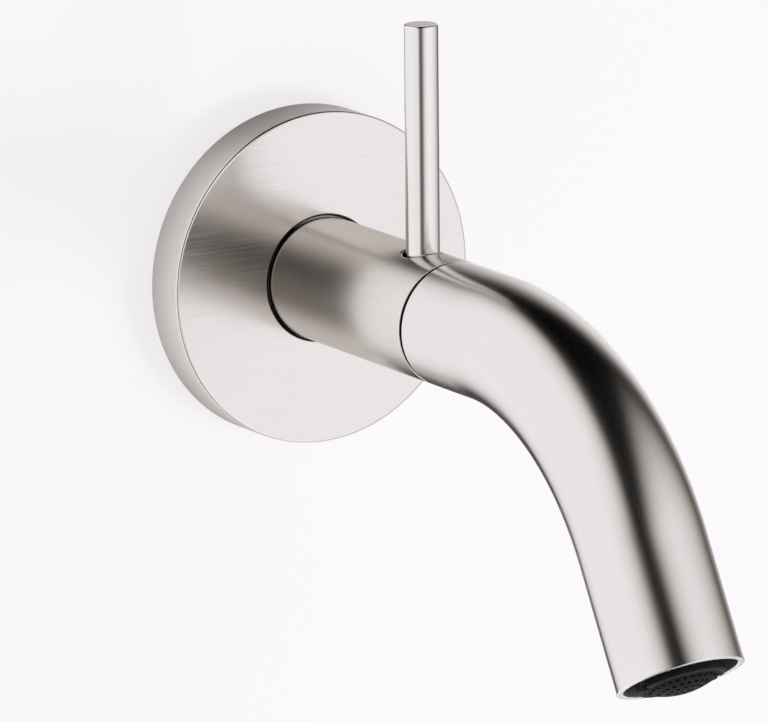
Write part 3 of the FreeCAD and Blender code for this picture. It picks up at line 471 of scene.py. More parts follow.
# %% [markdown]
# ## Brushed flange
# The flange is a shallow cup, 100 mm across, that hides the wall plate. A sheet could be spun
# into it, but the photograph shows a crisp machined corner, so its profile is turned. The face
# is brushed straight across, which the planar part of the grain map gives. The side is duller
# than the face, so it gets a finish of its own.

# %% Turn the flange
FLANGE_R, FLANGE_FRONT, HIDDEN_R, GAP_R = 50.0, 14.65, 43.5, 19.2
flange = turned("flange_cup", finishes["brushed_face"], rounded([
    (0, HIDDEN_R, 0), (10.25, HIDDEN_R, 0.4), (10.25, GAP_R, 0.2), (FLANGE_FRONT, GAP_R, 0.3),
    (FLANGE_FRONT, 26.0, 0), (FLANGE_FRONT, 40.0, 0), (FLANGE_FRONT, FLANGE_R, 0.85),
    (0, FLANGE_R, 0.3), (0, 48.4, 0), (1.2, 48.4, 0), (1.2, 44.8, 0), (0, 44.8, 0),
], steps=6, wear=0.12), every(2.5))

# %% Give its side a second finish
def refinished(piece, material, chosen):
    """Gives the faces that chosen picks a second material."""
    piece.data.materials.append(material)
    for face in piece.data.polygons:
        if chosen(face):
            face.material_index = 1
    print(piece.name, "faces refinished:", sum(f.material_index for f in piece.data.polygons))


# the side's finish carries painted shade towards the wall
SIDE_FROM = (FLANGE_R - 0.03) * MM
refinished(flange, finishes["brushed_rim"],
           lambda face: math.hypot(face.center.x, face.center.z) > SIDE_FROM)
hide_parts("wall_flange")
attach(flange, "fixed_body")

# %% [markdown]
# ## A hole in a round wall
# The sleeve has a slot for the lever and the spout a hole for its locking screw. A boolean would
# cut either, but it leaves long slivers that catch the light on a curved wall. Instead a patch of
# the grid is left open and filled with rings of faces that change from the hole's outline to the
# patch's border, all on the same cylinder, so the wall stays perfectly round up to the edge.

# %% The rim of a slot
def slot_reach(angle, half_length, half_width):
    """Distance from the slot's centre to its rim in one direction."""
    reach = half_length - half_width
    c, s = abs(math.cos(angle)), abs(math.sin(angle))
    if s > 1e-9 and half_width / s * c <= reach:
        return half_width / s
    return reach * c + math.sqrt(max(half_width ** 2 - (reach * s) ** 2, 0))


def open_cells(patch, count):
    """The grid cells that a patch leaves out."""
    r0, r1, c0, c1 = patch
    return {(i, j % count) for i in range(r0, r1) for j in range(c0, c1)}

# %% Filling the patch round a hole
CROWDING = 1.3                           # above 1, the rings lie closer together at the rim
RIM_WEAR = (1.0, 0.35)                   # wear of the first two rings


def drilled(stock, index, rows, columns, patch, hole, centre, wall_r, rings=5):
    """Fills the open patch round a hole on one wall, and returns the hole's rim there."""
    r0, r1, c0, c1 = patch
    deg0, s0 = centre
    low, high = (r0, r1) if rows[r0][0] < rows[r1][0] else (r1, r0)
    out = 1 if high > low else -1
    border = [(low, j) for j in range(c0, c1)] + [(i, c1) for i in range(low, high, out)]
    border += [(high, j) for j in range(c1, c0, -1)] + [(i, c0) for i in range(high, low, -out)]
    lines = []
    for i, j in border:
        deg = columns[j % len(columns)] + (360 if j >= len(columns) else 0) - deg0
        far = Vector((math.radians(deg) * wall_r, rows[i][0] - s0))
        angle = math.atan2(far.y, far.x)
        reach = slot_reach(angle, *hole)
        near = Vector((reach * math.cos(angle), reach * math.sin(angle)))
        near.x = math.asin(max(-1, min(1, near.x / wall_r))) * wall_r
        line = []
        for k in range(rings):
            at = near.lerp(far, (k / rings) ** CROWDING)
            a = math.radians(deg0) + at.x / wall_r
            place = (-wall_r * math.sin(a), -(s0 + at.y), wall_r * math.cos(a))
            worn = RIM_WEAR[k] if k < len(RIM_WEAR) else 0.0
            line.append((stock.point(place, worn), at))
        line.append((index[i][j % len(columns)], far))
        lines.append(line)
    for n, line in enumerate(lines):
        other = lines[(n + 1) % len(lines)]
        for k in range(rings):
            quad = (line[k], other[k], other[k + 1], line[k + 1])
            base = math.radians(deg0) * wall_r
            stock.face([(v, s0 + p.y, base + p.x) for v, p in quad])
    return [line[0] for line in lines]

# %% The wall inside a hole
HOLE_LEVELS = ((0.35, 1.0), (0.75, 1.0), (1.0, 0.6), (1.0, 0.1))    # share of the bevel, wear
GRAIN_STEP = 0.6                                                    # millimetres on the grain map


def hole_wall(stock, upper, lower, centre, rim, top_r):
    """Walls of the hole, from the outer rim over a small bevel down to the inner rim."""
    deg0, s0 = centre
    turn = Matrix.Rotation(-math.radians(deg0), 3, "Y")
    levels = [[v for v, _ in upper]]
    for share, worn in HOLE_LEVELS:
        ring = []
        for _, at in upper:
            x = math.sin(at.x / top_r) * top_r
            flat = Vector((x, at.y))
            size = flat.length
            inward = rim * (1 - math.cos(share * math.pi / 2)) if share < 1 else rim
            sunk = rim * math.sin(share * math.pi / 2) if worn > 0.5 else rim * 2.0
            flat = flat * ((size - inward) / size)
            z = math.sqrt(top_r ** 2 - flat.x ** 2) - sunk
            ring.append(stock.point(turn @ Vector((-flat.x, -(s0 + flat.y), z)), worn))
        levels.append(ring)
    levels.append([v for v, _ in lower])
    count = len(upper)
    for low, high in zip(levels, levels[1:]):
        for n in range(count):
            m = (n + 1) % count
            along = n * GRAIN_STEP
            stock.face([(low[n], along, 0), (low[m], along + GRAIN_STEP, 0),
                        (high[m], along + GRAIN_STEP, GRAIN_STEP), (high[n], along, GRAIN_STEP)])

# %% A tube with one hole
def tube_rows(ends, stations, bore):
    """Profile of a tube: its rounded ends, and the stations between along both walls."""
    half = len(ends) // 2
    rows = ends[:half] + [(s, TUBE_R, 0.0) for s in stations] + ends[half:]
    return rows + [(s, bore, 0.0) for s in stations[::-1]]


def holed_tube(rows, columns, bore, span, wing, centre, hole, rim, rings=5):
    """Its patch covers the stations of span, and wing columns on each side of the hole."""
    stock, turn, middle = Stock(), len(columns), round(centre[0] * len(columns) / 360)
    patches = [(start, start + len(span) - 1, middle - wing, middle + wing)
               for start in (rows.index((span[0], TUBE_R, 0.0)), rows.index((span[-1], bore, 0.0)))]
    grid = around(stock, rows, columns, lengthwise=True,
                  omit=open_cells(patches[0], turn) | open_cells(patches[1], turn))
    sizes = ([size + rim for size in hole], hole)
    rims = [drilled(stock, grid, rows, columns, patch, size, centre, wall_r, rings)
            for patch, size, wall_r in zip(patches, sizes, (TUBE_R, bore))]
    hole_wall(stock, *rims, centre, rim, TUBE_R)
    return stock

# %% [markdown]
# ## Turning sleeve
# The sleeve is a tube, 37 mm across with a 1.9 mm wall, that turns with the lever. Its slot is
# stadium-shaped, a little wider than the lever, and both ends of the tube have a broken edge
# that shows as a thin bright line beside the dark joint. Solidify on a single wall would make a
# tube too, but both walls need their own corners, so the whole closed profile is carried round.

# %% Lay out the sleeve's wall
SLEEVE_BACK, SLEEVE_FRONT = 15.2, 88.35
sleeve_columns = every(3.0)
slot_stations = [62.75 + 1.5 * k for k in range(13)]
sleeve_stations = stations_between(17.0, slot_stations[0], 12) + slot_stations + [83.0, 86.0]
ends = rounded([(SLEEVE_BACK, SLEEVE_BORE, 0.25), (SLEEVE_BACK, TUBE_R, 0.4),
                (SLEEVE_FRONT, TUBE_R, 0.22), (SLEEVE_FRONT, SLEEVE_BORE, 0.2)])
sleeve_rows = tube_rows(ends, sleeve_stations, SLEEVE_BORE)
print("sleeve:", len(sleeve_rows), "rows,", len(sleeve_columns), "columns")

# %% Cut the slot and close the sleeve
SLOT_AT = (360.0, LEVER_AT)
SLOT_HALF, SLOT_RIM = (6.2, 5.3), 0.2    # half length and half width, bevel
SLOT_WING = 10                           # columns of the patch on each side
sleeve_stock = holed_tube(sleeve_rows, sleeve_columns, SLEEVE_BORE, slot_stations, SLOT_WING,
                          SLOT_AT, SLOT_HALF, SLOT_RIM)
sleeve = sleeve_stock.piece("turning_sleeve", finishes["brushed_sleeve"],
                            bore_r=SLEEVE_BORE + 0.1)
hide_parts("control_sleeve")
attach(sleeve, "turning_group")

# %% [markdown]
# ## Lever
# The lever is a plain 10 mm rod with a screwed foot. A cylinder with a bevel would pass for it from
# afar, but the foot is thinner than the rod, so the profile is turned like the others. It stands
# upright in the hub: the same helper, then a quarter turn to stand it up.

# %% Turn the lever and stand it up
ROD_R, FOOT_R, FOOT_END, SHOULDER, ROD_TOP = 5.0, 3.0, 4.9, 12.4, 85.4
UPRIGHT = Matrix.Translation((0, -LEVER_AT * MM, 0)) @ Matrix.Rotation(-math.pi / 2, 4, "X")
lever = turned("lever_rod", finishes["brushed_lever"], rounded([
    (FOOT_END, 0, 0), (FOOT_END, FOOT_R, 0.5), (SHOULDER, FOOT_R, 0), (SHOULDER, ROD_R, 0.3),
    (30.0, ROD_R, 0), (60.0, ROD_R, 0), (ROD_TOP, ROD_R, 0.5), (ROD_TOP, 0, 0),
], steps=6), every(5.0), lengthwise=True, place=UPRIGHT)
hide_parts("lever")
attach(lever, "turning_group")

# %% [markdown]
# ## Bent spout
# A spout like this starts as a straight tube and is drawn round a former. A curve with a round
# profile would bend too, but without a wall, broken edges or a hole. So it is modelled in the
# real order: straight stock first, and then a Geometry Nodes tree that bends it. The tree's
# inputs are what a bending machine asks for: where the bend starts, its radius and its angle.

# %% Starting, ending and running a tree
def new_tree(name, wanted):
    """An empty tree with named inputs; returns it with its in and out nodes."""
    tree = bpy.data.node_groups.new(name, "GeometryNodeTree")
    tree.interface.new_socket("Geometry", in_out="INPUT", socket_type="NodeSocketGeometry")
    for label, kind, value in wanted:
        socket = tree.interface.new_socket(label, in_out="INPUT", socket_type="NodeSocket" + kind)
        if value is not None:
            socket.default_value = value
    tree.interface.new_socket("Geometry", in_out="OUTPUT", socket_type="NodeSocketGeometry")
    return tree, put(tree, "NodeGroupInput"), put(tree, "NodeGroupOutput")


def ending(tree, shape, material, out):
    """Realizes what was instanced and gives it its material."""
    real = put(tree, "GeometryNodeRealizeInstances", {"Geometry": shape})
    dressed = put(tree, "GeometryNodeSetMaterial", {"Geometry": real.outputs[0],
                                                    "Material": material})
    tree.links.new(dressed.outputs[0], out.inputs[0])


def apply_tree(piece, tree, values):
    """Runs a tree on a piece with the given inputs and keeps the result as a plain mesh."""
    modifier = piece.modifiers.new(tree.name, "NODES")
    modifier.node_group = tree
    for item in tree.interface.items_tree:
        if item.in_out == "INPUT" and item.name in values:
            modifier[item.identifier] = values[item.name]
    view = bpy.context.evaluated_depsgraph_get()
    made = bpy.data.meshes.new_from_object(piece.evaluated_get(view), depsgraph=view)
    piece.modifiers.remove(modifier)
    made.name = piece.name
    piece.data = made
    print(piece.name, "from tree", tree.name + ":", len(made.polygons), "faces")

# %% A tree that bends tube stock
def bending_tree():
    tree, given, out = new_tree("tube bend", [
        ("Bend Start", "Float", 0.1), ("Bend Radius", "Float", 0.09), ("Bend Angle", "Float", 1.0),
        ("Finish", "Material", None)])
    start, radius, turn = (given.outputs["Bend " + word] for word in ("Start", "Radius", "Angle"))
    x, y, z = split(tree, put(tree, "GeometryNodeInputPosition").outputs[0])
    station = times(tree, y, -1.0)
    past = figure(tree, "MAXIMUM", minus(tree, station, start), 0.0)
    arc = times(tree, radius, turn)
    bent = figure(tree, "MINIMUM", past, arc)
    extra = figure(tree, "MAXIMUM", minus(tree, past, arc), 0.0)
    angle = figure(tree, "DIVIDE", bent, radius)
    sine, cosine = figure(tree, "SINE", angle), figure(tree, "COSINE", angle)
    reach = plus(tree, times(tree, radius, sine), times(tree, extra, cosine))
    out_y = plus(tree, figure(tree, "MINIMUM", station, start), reach)
    out_y = times(tree, plus(tree, out_y, times(tree, z, sine)), -1.0)
    drop = plus(tree, times(tree, radius, minus(tree, 1.0, cosine)), times(tree, extra, sine))
    out_z = minus(tree, times(tree, z, cosine), drop)
    moved = put(tree, "GeometryNodeSetPosition", {"Geometry": given.outputs[0],
                                                  "Position": joined(tree, x, out_y, out_z)})
    ending(tree, moved.outputs[0], given.outputs["Finish"], out)
    return tree

# %% Rows of the straight stock
BEND_START, BEND_R, BEND_DEG = 110.45, 90.6, 60.0
BEND_END = BEND_START + BEND_R * math.radians(BEND_DEG)
SPOUT_BACK, MOUTH_STATION = 89.75, BEND_END + 38.5
spout_columns = every(2.5)
grub_stations = [93.4 + 1.0 * k for k in range(9)]
long_way = [91.2] + grub_stations
long_way += stations_between(grub_stations[-1], BEND_START, 5) + [BEND_START]
long_way += stations_between(BEND_START, BEND_END, 48) + [BEND_END]
long_way += stations_between(BEND_END, MOUTH_STATION - 1.5, 8)
ends = rounded([(SPOUT_BACK, SPOUT_BORE, 0.2), (SPOUT_BACK, TUBE_R, 0.22),
                (MOUTH_STATION, TUBE_R, 0.22), (MOUTH_STATION, SPOUT_BORE, 0.3)])
spout_rows = tube_rows(ends, long_way, SPOUT_BORE)
print("spout:", len(spout_rows), "rows,", len(spout_columns), "columns")

# %% Straight stock with the hole for its locking screw
GRUB_AT, GRUB_RIM, GRUB_WING = (180.0, 97.4), 0.15, 5
GRUB_HALF = (2.5, 2.5 - 1e-6)            # as good as round
spout_stock = holed_tube(spout_rows, spout_columns, SPOUT_BORE, grub_stations, GRUB_WING,
                         GRUB_AT, GRUB_HALF, GRUB_RIM, rings=3)
spout = spout_stock.piece("spout_pipe", finishes["brushed_shell"], bore_r=SPOUT_BORE + 0.1)

# %% Bend it and paint its bore a dark grey as painted shade
apply_tree(spout, bending_tree(), {
    "Bend Start": BEND_START * MM, "Bend Radius": BEND_R * MM,
    "Bend Angle": math.radians(BEND_DEG), "Finish": finishes["brushed_shell"]})
inside = [vert.value > 0.5 for vert in spout.data.attributes["bore"].data]
# the bore's faces get the dark grey of painted shade
refinished(spout, finishes["mouth_bore"],
           lambda face: all(inside[corner] for corner in face.vertices))
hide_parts("spout_tube")
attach(spout, "fixed_body")

# %% [markdown]
# ## Aerator
# The black ring in the mouth screws into the spout and has two notches for a coin. Its face is a
# low dome with rings of small round holes. The ring is turned, with its front row dipped where
# the notches are, because a boolean there would spoil the ring's rounded front.

# %% Turn the notched ring
MOUTH_Y, MOUTH_Z = -208.16 * MM, -78.64 * MM
TIPPED = Matrix.Rotation(math.radians(BEND_DEG), 4, "X")
AT_MOUTH = Matrix.Translation((0, MOUTH_Y, MOUTH_Z)) @ TIPPED
NOTCH_MIDDLES, NOTCH_DEG, NOTCH_FLOOR = (90, 270), 7.0, -0.1
RIM_R, THREAD_R, SEAT_R, RIM_FRONT, RIM_BACK, RING_BACK = 12.85, 12.0, 11.2, 1.5, -3.6, -12.0


def notched(s, r, deg):
    """Front of the ring, lowered where a notch crosses it."""
    off = min(abs(deg - middle) for middle in NOTCH_MIDDLES)
    return min(s, NOTCH_FLOOR) if off < NOTCH_DEG else s


notch_sides = {middle + side * (NOTCH_DEG + e) for middle in NOTCH_MIDDLES
               for side in (-1, 1) for e in (-0.1, 0.1)}
aerator_ring = turned("aerator_ring", finishes["black_plastic"], rounded([
    (RING_BACK, 10.4, 0.1), (-10.8, 10.4, 0), (-10.8, SEAT_R, 0), (RIM_FRONT, SEAT_R, 0.15),
    (RIM_FRONT, RIM_R, 0.5), (RIM_BACK, RIM_R, 0.1), (RIM_BACK, THREAD_R, 0),
    (RING_BACK, THREAD_R, 0.3),
]), sorted(notch_sides.union(every(3.0))), place=AT_MOUTH, dip=notched)
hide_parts("aerator_housing")
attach(aerator_ring, "fixed_body")

# %% [markdown]
# ## Holes in the aerator's face
# Water leaves the dome through 71 round holes: one in the middle, then rings of 7, 14, 21 and 28.
# Placing each by hand would be slow and never quite even. They follow a rule, so a tree works out
# from a hole's number which ring it is on and where, and drills all of them at once.

# %% From a hole's number to its place
def ring_of(tree, number, added):
    """Ring on which a hole lies: the rings before it hold added x ring x (ring - 1) / 2 holes."""
    past = figure(tree, "DIVIDE", times(tree, minus(tree, number, 1.0), 8.0), added)
    root = figure(tree, "SQRT", figure(tree, "MAXIMUM", plus(tree, past, 1.0001), 0.0))
    ring = figure(tree, "FLOOR", times(tree, plus(tree, root, 1.0), 0.5))
    return times(tree, ring, figure(tree, "GREATER_THAN", number, 0.5))


def hole_place(tree, number, added, step, height):
    ring = ring_of(tree, number, added)
    inside = times(tree, times(tree, times(tree, ring, minus(tree, ring, 1.0)), 0.5), added)
    place = minus(tree, minus(tree, number, 1.0), inside)
    on_ring = figure(tree, "MAXIMUM", times(tree, ring, added), 1.0)
    angle = times(tree, figure(tree, "DIVIDE", place, on_ring), 2 * math.pi)
    reach = times(tree, ring, step)
    across = times(tree, times(tree, reach, figure(tree, "SINE", angle)), -1.0)
    along = times(tree, reach, figure(tree, "COSINE", angle))
    return joined(tree, across, along, height)

# %% A tree that drills rings of holes
def perforating_tree():
    tree, given, out = new_tree("hole rings", [
        ("Hole Radius", "Float", 0.0006), ("Ring Step", "Float", 0.0024), ("Rings", "Int", 4),
        ("Added Per Ring", "Int", 7), ("Drill Depth", "Float", 0.004),
        ("Drill Start", "Float", 0.0), ("Finish", "Material", None)])
    shape, given = given.outputs[0], given.outputs
    added, rings = given["Added Per Ring"], given["Rings"]
    pairs = times(tree, times(tree, rings, plus(tree, rings, 1.0)), 0.5)
    whole = plus(tree, times(tree, pairs, added), 1.0)
    number = put(tree, "GeometryNodeInputIndex").outputs[0]
    spot = hole_place(tree, number, added, given["Ring Step"], given["Drill Start"])
    points = put(tree, "GeometryNodePoints", {"Count": whole, "Position": spot}).outputs[0]
    drill = put(tree, "GeometryNodeMeshCylinder", {
        "Vertices": 16, "Radius": given["Hole Radius"], "Depth": given["Drill Depth"]}).outputs[0]
    drills = put(tree, "GeometryNodeInstanceOnPoints", {"Points": points, "Instance": drill})
    real = put(tree, "GeometryNodeRealizeInstances", {"Geometry": drills.outputs[0]})
    cut = put(tree, "GeometryNodeMeshBoolean", {"Mesh 1": shape, "Mesh 2": real.outputs[0]},
              operation="DIFFERENCE", solver="EXACT")
    ending(tree, cut.outputs[0], given["Finish"], out)
    return tree

# %% Turn the dome and drill it
DOME_R, DOME_RISE, DOME_TOP, SKIN, SKIRT_BACK = 11.1, 2.8, 4.2, 1.0, -4.8
BALL = (DOME_R ** 2 + DOME_RISE ** 2) / (2 * DOME_RISE)
dome_radii = [10.0 - k for k in range(11)]


def dome_row(r, ball):
    return DOME_TOP - BALL + math.sqrt(ball ** 2 - r ** 2), r, 0.0


face_rows = [(SKIRT_BACK, DOME_R, 0.0), (1.0, DOME_R, 0.3), (1.28, 11.05, 0.8), (1.42, 10.95, 1.0)]
face_rows += [dome_row(r, BALL) for r in [10.8] + dome_radii]
face_rows += [dome_row(r, BALL - SKIN) for r in dome_radii[::-1] + [10.5]]
face_rows += [(SKIRT_BACK, 10.5, 0.0)]
LYING = Matrix.Rotation(math.pi / 2, 4, "X")
grille = turned("aerator_grille", finishes["black_plastic"], face_rows, every(5.0),
                place=LYING.inverted())
apply_tree(grille, perforating_tree(), {
    "Hole Radius": 0.62 * MM, "Ring Step": 2.45 * MM, "Rings": 4, "Added Per Ring": 7,
    "Drill Depth": 5.6 * MM, "Drill Start": 3.2 * MM, "Finish": finishes["black_plastic"]})
grille.data.transform(AT_MOUTH @ LYING)
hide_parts("aerator_face")
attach(grille, "fixed_body")

# %% [markdown]
# ## Wall screws
# Four screws hold the plate to the wall. Four copies set by hand would do, but they repeat on a
# circle, so one blank with a rolled thread is turned here, and a tree sets one on each point of
# the circle. The thread is a ridge that climbs by one pitch in a turn, which is why its radius
# depends on the angle as well.

# %% Turn one threaded blank
PITCH, ROOT_R, RIDGE, RIDGE_SHARE = 1.8, 1.75, 0.75, 0.28
SCREW_TIP, TAPER = -35.0, 5.0
screw_stock = Stock()
screw_columns = every(15.0)
shank = [SCREW_TIP + 0.3 * k for k in range(117)]
screw_rows = [(SCREW_TIP, 0.0, 0.0)] + [(s, ROOT_R + RIDGE, 0.4) for s in shank]
screw_rows += [(0.0, 2.6, 0.0), (5.0, 2.6, 0.0), (5.0, 4.5, 0.3), (6.6, 4.5, 0.5), (7.4, 4.2, 1.0),
               (8.0, 3.4, 0.5), (8.2, 2.4, 0.2), (8.2, 0.0, 0.0)]
screw_grid = around(screw_stock, screw_rows, screw_columns, lengthwise=False)
for line, s in zip(screw_grid[1:], shank):
    for spot, deg in zip(line, screw_columns):
        climbed = (s / PITCH + deg / 360.0) % 1.0
        ridge = max(0.0, 1 - abs(climbed - 0.5) / RIDGE_SHARE)
        taper = min(1.0, (s - SCREW_TIP) / TAPER)
        size = (ROOT_R + RIDGE * ridge) * max(taper, 0.02)
        a = math.radians(deg)
        screw_stock.points[spot] = Vector((-size * math.sin(a), -s, size * math.cos(a)))
blank = screw_stock.piece("wall_screw_set", finishes["stainless_screw"])

# %% Set the screws on their circle
def screw_circle_tree():
    tree, given, out = new_tree("screw circle", [
        ("Circle Radius", "Float", 0.034), ("Count", "Int", 4), ("Slot Width", "Float", 0.0011),
        ("Slot Length", "Float", 0.005), ("Slot Depth", "Float", 0.0015),
        ("Head Front", "Float", 0.0082), ("Finish", "Material", None)])
    shape, given = given.outputs[0], given.outputs
    ring = put(tree, "GeometryNodeMeshCircle",
               {"Vertices": given["Count"], "Radius": given["Circle Radius"]})
    stood = put(tree, "GeometryNodeTransform",
                {"Geometry": ring.outputs[0], "Rotation": (math.pi / 2, 0, 0)})
    depth = times(tree, given["Slot Depth"], 2.0)
    wide, tall = given["Slot Width"], given["Slot Length"]
    bars = put(tree, "GeometryNodeJoinGeometry")
    for a, b in ((wide, tall), (tall, wide)):
        bar = put(tree, "GeometryNodeMeshCube", {"Size": joined(tree, a, depth, b)})
        tree.links.new(bar.outputs[0], bars.inputs[0])
    front = joined(tree, 0.0, times(tree, given["Head Front"], -1.0), 0.0)
    cross = put(tree, "GeometryNodeTransform", {"Geometry": bars.outputs[0], "Translation": front})
    cut = put(tree, "GeometryNodeMeshBoolean",
              {"Mesh 1": shape, "Mesh 2": cross.outputs[0], "Self Intersection": True},
              operation="DIFFERENCE", solver="EXACT")
    screws = put(tree, "GeometryNodeInstanceOnPoints",
                 {"Points": stood.outputs[0], "Instance": cut.outputs[0]})
    ending(tree, screws.outputs[0], given["Finish"], out)
    return tree


apply_tree(blank, screw_circle_tree(), {
    "Circle Radius": 34 * MM, "Count": 4, "Slot Width": 1.1 * MM, "Slot Length": 5 * MM,
    "Slot Depth": 1.5 * MM, "Head Front": 8.2 * MM, "Finish": finishes["stainless_screw"]})
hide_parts("wall_screws")
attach(blank, "fixed_body")

# %% [markdown]
# ## Pieces carried over
# The works inside the tap keep the shape of their solids: valve body, cartridge, discs, seals,
# plugs and tails. They could be made again with rounder edges, but nobody sees them in use, so
# they only get their finish, which goes in the slots of their own meshes.

# %% Give each carried piece its finish
wears = {
    "foam": ["wall_gasket"],
    "seal_rubber": ["flange_o_ring", "tail_o_rings", "cartridge_seals", "spindle_o_ring",
                    "plug_o_ring", "spigot_o_rings", "aerator_seal"],
    "zinc_steel": ["wall_plate"],
    "stainless_screw": ["body_screws", "inlet_strainers", "hub_screw", "spout_grub_screw"],
    "brass_painted_light": ["valve_body"],
    "brass": ["cartridge_spindle", "cartridge_nut", "lever_hub", "front_plug", "spout_bush"],
    # the bush's near black is painted shade for its recess
    "brass_dark": ["aerator_bush"],
    "copper_tail": ["hot_tail", "cold_tail"],
    "cartridge_plastic": ["cartridge_body"],
    "ceramic": ["fixed_disc", "moving_disc"],
    "glide_plastic": ["rear_glide_ring", "front_glide_ring", "aerator_mixer"],
}
for slot, names in wears.items():
    for name in names:
        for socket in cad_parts[name].material_slots:
            socket.material = finishes[slot]
print("carried pieces dressed:", sum(len(names) for names in wears.values()))

# %% [markdown]
# ## Wall and floor
# The tap hangs on a plain white wall that runs down to a pale floor in one soft curve, so no hard
# line crosses the picture. Two planes would do for wall and floor, but their corner would show.
# The sheet is seen from its front only: from behind it is clear, so that the plate and the inlet
# tails can be looked at too.

# %% Build the sweep
SWEEP_R, WALL_TOP, FLOOR_Z, FRONT_Y, SIDE, CURVE_STEPS = 0.18, 1.8, -1.3, -2.6, 3.2, 16
sweep_line = [(0.0, WALL_TOP), (0.0, 0.6), (0.0, FLOOR_Z + SWEEP_R)]
sweep_line += [(-SWEEP_R * (1 - math.cos(a)), FLOOR_Z + SWEEP_R * (1 - math.sin(a)))
               for a in (math.pi / 2 * k / CURVE_STEPS for k in range(1, CURVE_STEPS + 1))]
sweep_line += [(FRONT_Y, FLOOR_Z)]
sweep = bpy.data.meshes.new("studio_sweep")
sweep.from_pydata([(x, y, z) for y, z in sweep_line for x in (-SIDE, SIDE)], [],
                  [(2 * k, 2 * k + 2, 2 * k + 3, 2 * k + 1) for k in range(len(sweep_line) - 1)])
sweep.shade_smooth()
studio = bpy.data.objects.new("studio_sweep", sweep)
scene.collection.objects.link(studio)
studio.visible_glossy = False
print("sweep:", len(sweep.polygons), "faces, forward:", sweep.polygons[0].normal.y < 0)

# %% Paint it
paint = bpy.data.materials.new("matt_white_wall")
paint.use_nodes = True
tree = paint.node_tree
tree.nodes.clear()
PAINT, GLOW, GLOW_STRENGTH = (0.30, 0.30, 0.30, 1), (0.982, 0.950, 0.980, 1), 0.73
matt = put(tree, "ShaderNodeBsdfDiffuse", {"Color": PAINT, "Roughness": 0.6})
glow = put(tree, "ShaderNodeEmission", {"Color": GLOW, "Strength": GLOW_STRENGTH})
wall = put(tree, "ShaderNodeAddShader", {0: matt.outputs[0], 1: glow.outputs[0]})
clear = put(tree, "ShaderNodeBsdfTransparent")
side = put(tree, "ShaderNodeNewGeometry").outputs["Backfacing"]
both = put(tree, "ShaderNodeMixShader", {0: side, 1: wall.outputs[0], 2: clear.outputs[0]})
put(tree, "ShaderNodeOutputMaterial", {"Surface": both.outputs[0]})
sweep.materials.append(paint)
print("wall painted:", paint.name)

# %% [markdown]
# ## Light tent
# Brushed metal shows nothing but its surroundings, so the light is arranged by what the tap
# mirrors. A tent of flat soft panels does that: a broad one on the left and one at the front
# right, with a gap between them that draws the long dark line down the spout, smaller ones
# towards the wall, black flags that cut them back, and a roof that darkens upwards. Softboxes on
# stands would do the same. Drawn in the world they have no noise, and their borders can be as
# soft as wanted.

# %% A soft panel standing upright round the tap
def panel(tree, way, under, strength, facing, across, up, soft):
    """Lays one flat panel over what is there. Spans are tangents of the angles off its facing."""
    a = math.radians(facing)
    x, y, z = way
    ahead = minus(tree, times(tree, x, math.sin(a)), times(tree, y, math.cos(a)))
    aside = plus(tree, times(tree, x, math.cos(a)), times(tree, y, math.sin(a)))
    depth = figure(tree, "MAXIMUM", ahead, 0.001)
    share = figure(tree, "GREATER_THAN", ahead, 0.002)
    for value, (low, high), blur in ((aside, across, soft[0]), (z, up, soft[1])):
        value = figure(tree, "DIVIDE", value, depth)
        for edge, near, far in ((low, 0, 1), (high, 1, 0)):
            mask = spread(tree, value, edge - blur / 2, edge + blur / 2, near, far, "SMOOTHSTEP")
            share = times(tree, share, mask)
    return tint(tree, share, under, grey(strength))


def grey(value):
    return (value, value, value, 1)

# %% Roof and panels
tent = bpy.data.worlds.new("light_tent")
scene.world = tent
tent.use_nodes = True
tree = tent.node_tree
tree.nodes.clear()
way = split(tree, put(tree, "ShaderNodeTexCoord").outputs["Generated"])
height = figure(tree, "DEGREES", figure(tree, "ARCSINE", way[2]))
roof = spread(tree, height, -10, 50, 0, 1, "SMOOTHSTEP")
sky = tint(tree, roof, grey(0.122), grey(0.001))
leftward = spread(tree, way[0], 0.0, -0.25, 0, 1, "SMOOTHSTEP")
backward = spread(tree, minus(tree, way[0], way[1]), 0.0, -0.3, 0, 1, "SMOOTHSTEP")
sky = tint(tree, times(tree, times(tree, leftward, backward), roof), sky, grey(0.07))
PANELS = (                               # strength, facing, across, up, softness
    (1.0, 172, (-0.84, -0.06), (-0.335, 0.025), (0.05, 0.05)),      # bright one towards the wall
    (1.045, -117, (-1.84, 1.63), (-8.0, 2.92), (2.5, 4.0)),         # broad one on the left
    (1.08, 43, (-1.77, 0.89), (-6.3, 1.41), (2.47, 2.19)),          # broad one at the front right
    (1.12, 145, (-0.461, 0.085), (-0.096, 0.526), (0.42, 1.03)),    # soft one behind, right
    (0.02, 171, (-0.15, 0.16), (-0.46, -0.325), (0.06, 0.05)),      # black flag towards the wall
    (0.02, 162, (-0.17, 0.13), (-0.85, -0.38), (0.08, 0.07)),       # its longer neighbour
    (1.0, -60, (-0.3, 0.22), (-0.8, -0.06), (0.25, 0.2)),           # small one low, front left
    (0.0, -32, (-0.16, 0.16), (0.15, 4.0), (0.16, 0.5)),            # black flag over the camera
    (1.5, 150, (-0.50, 0.45), (-2.4, -0.72), (0.3, 0.10)),          # bright one low behind, right
)
for row in PANELS:
    sky = panel(tree, way, sky, *row)
print("panels laid:", len(PANELS))

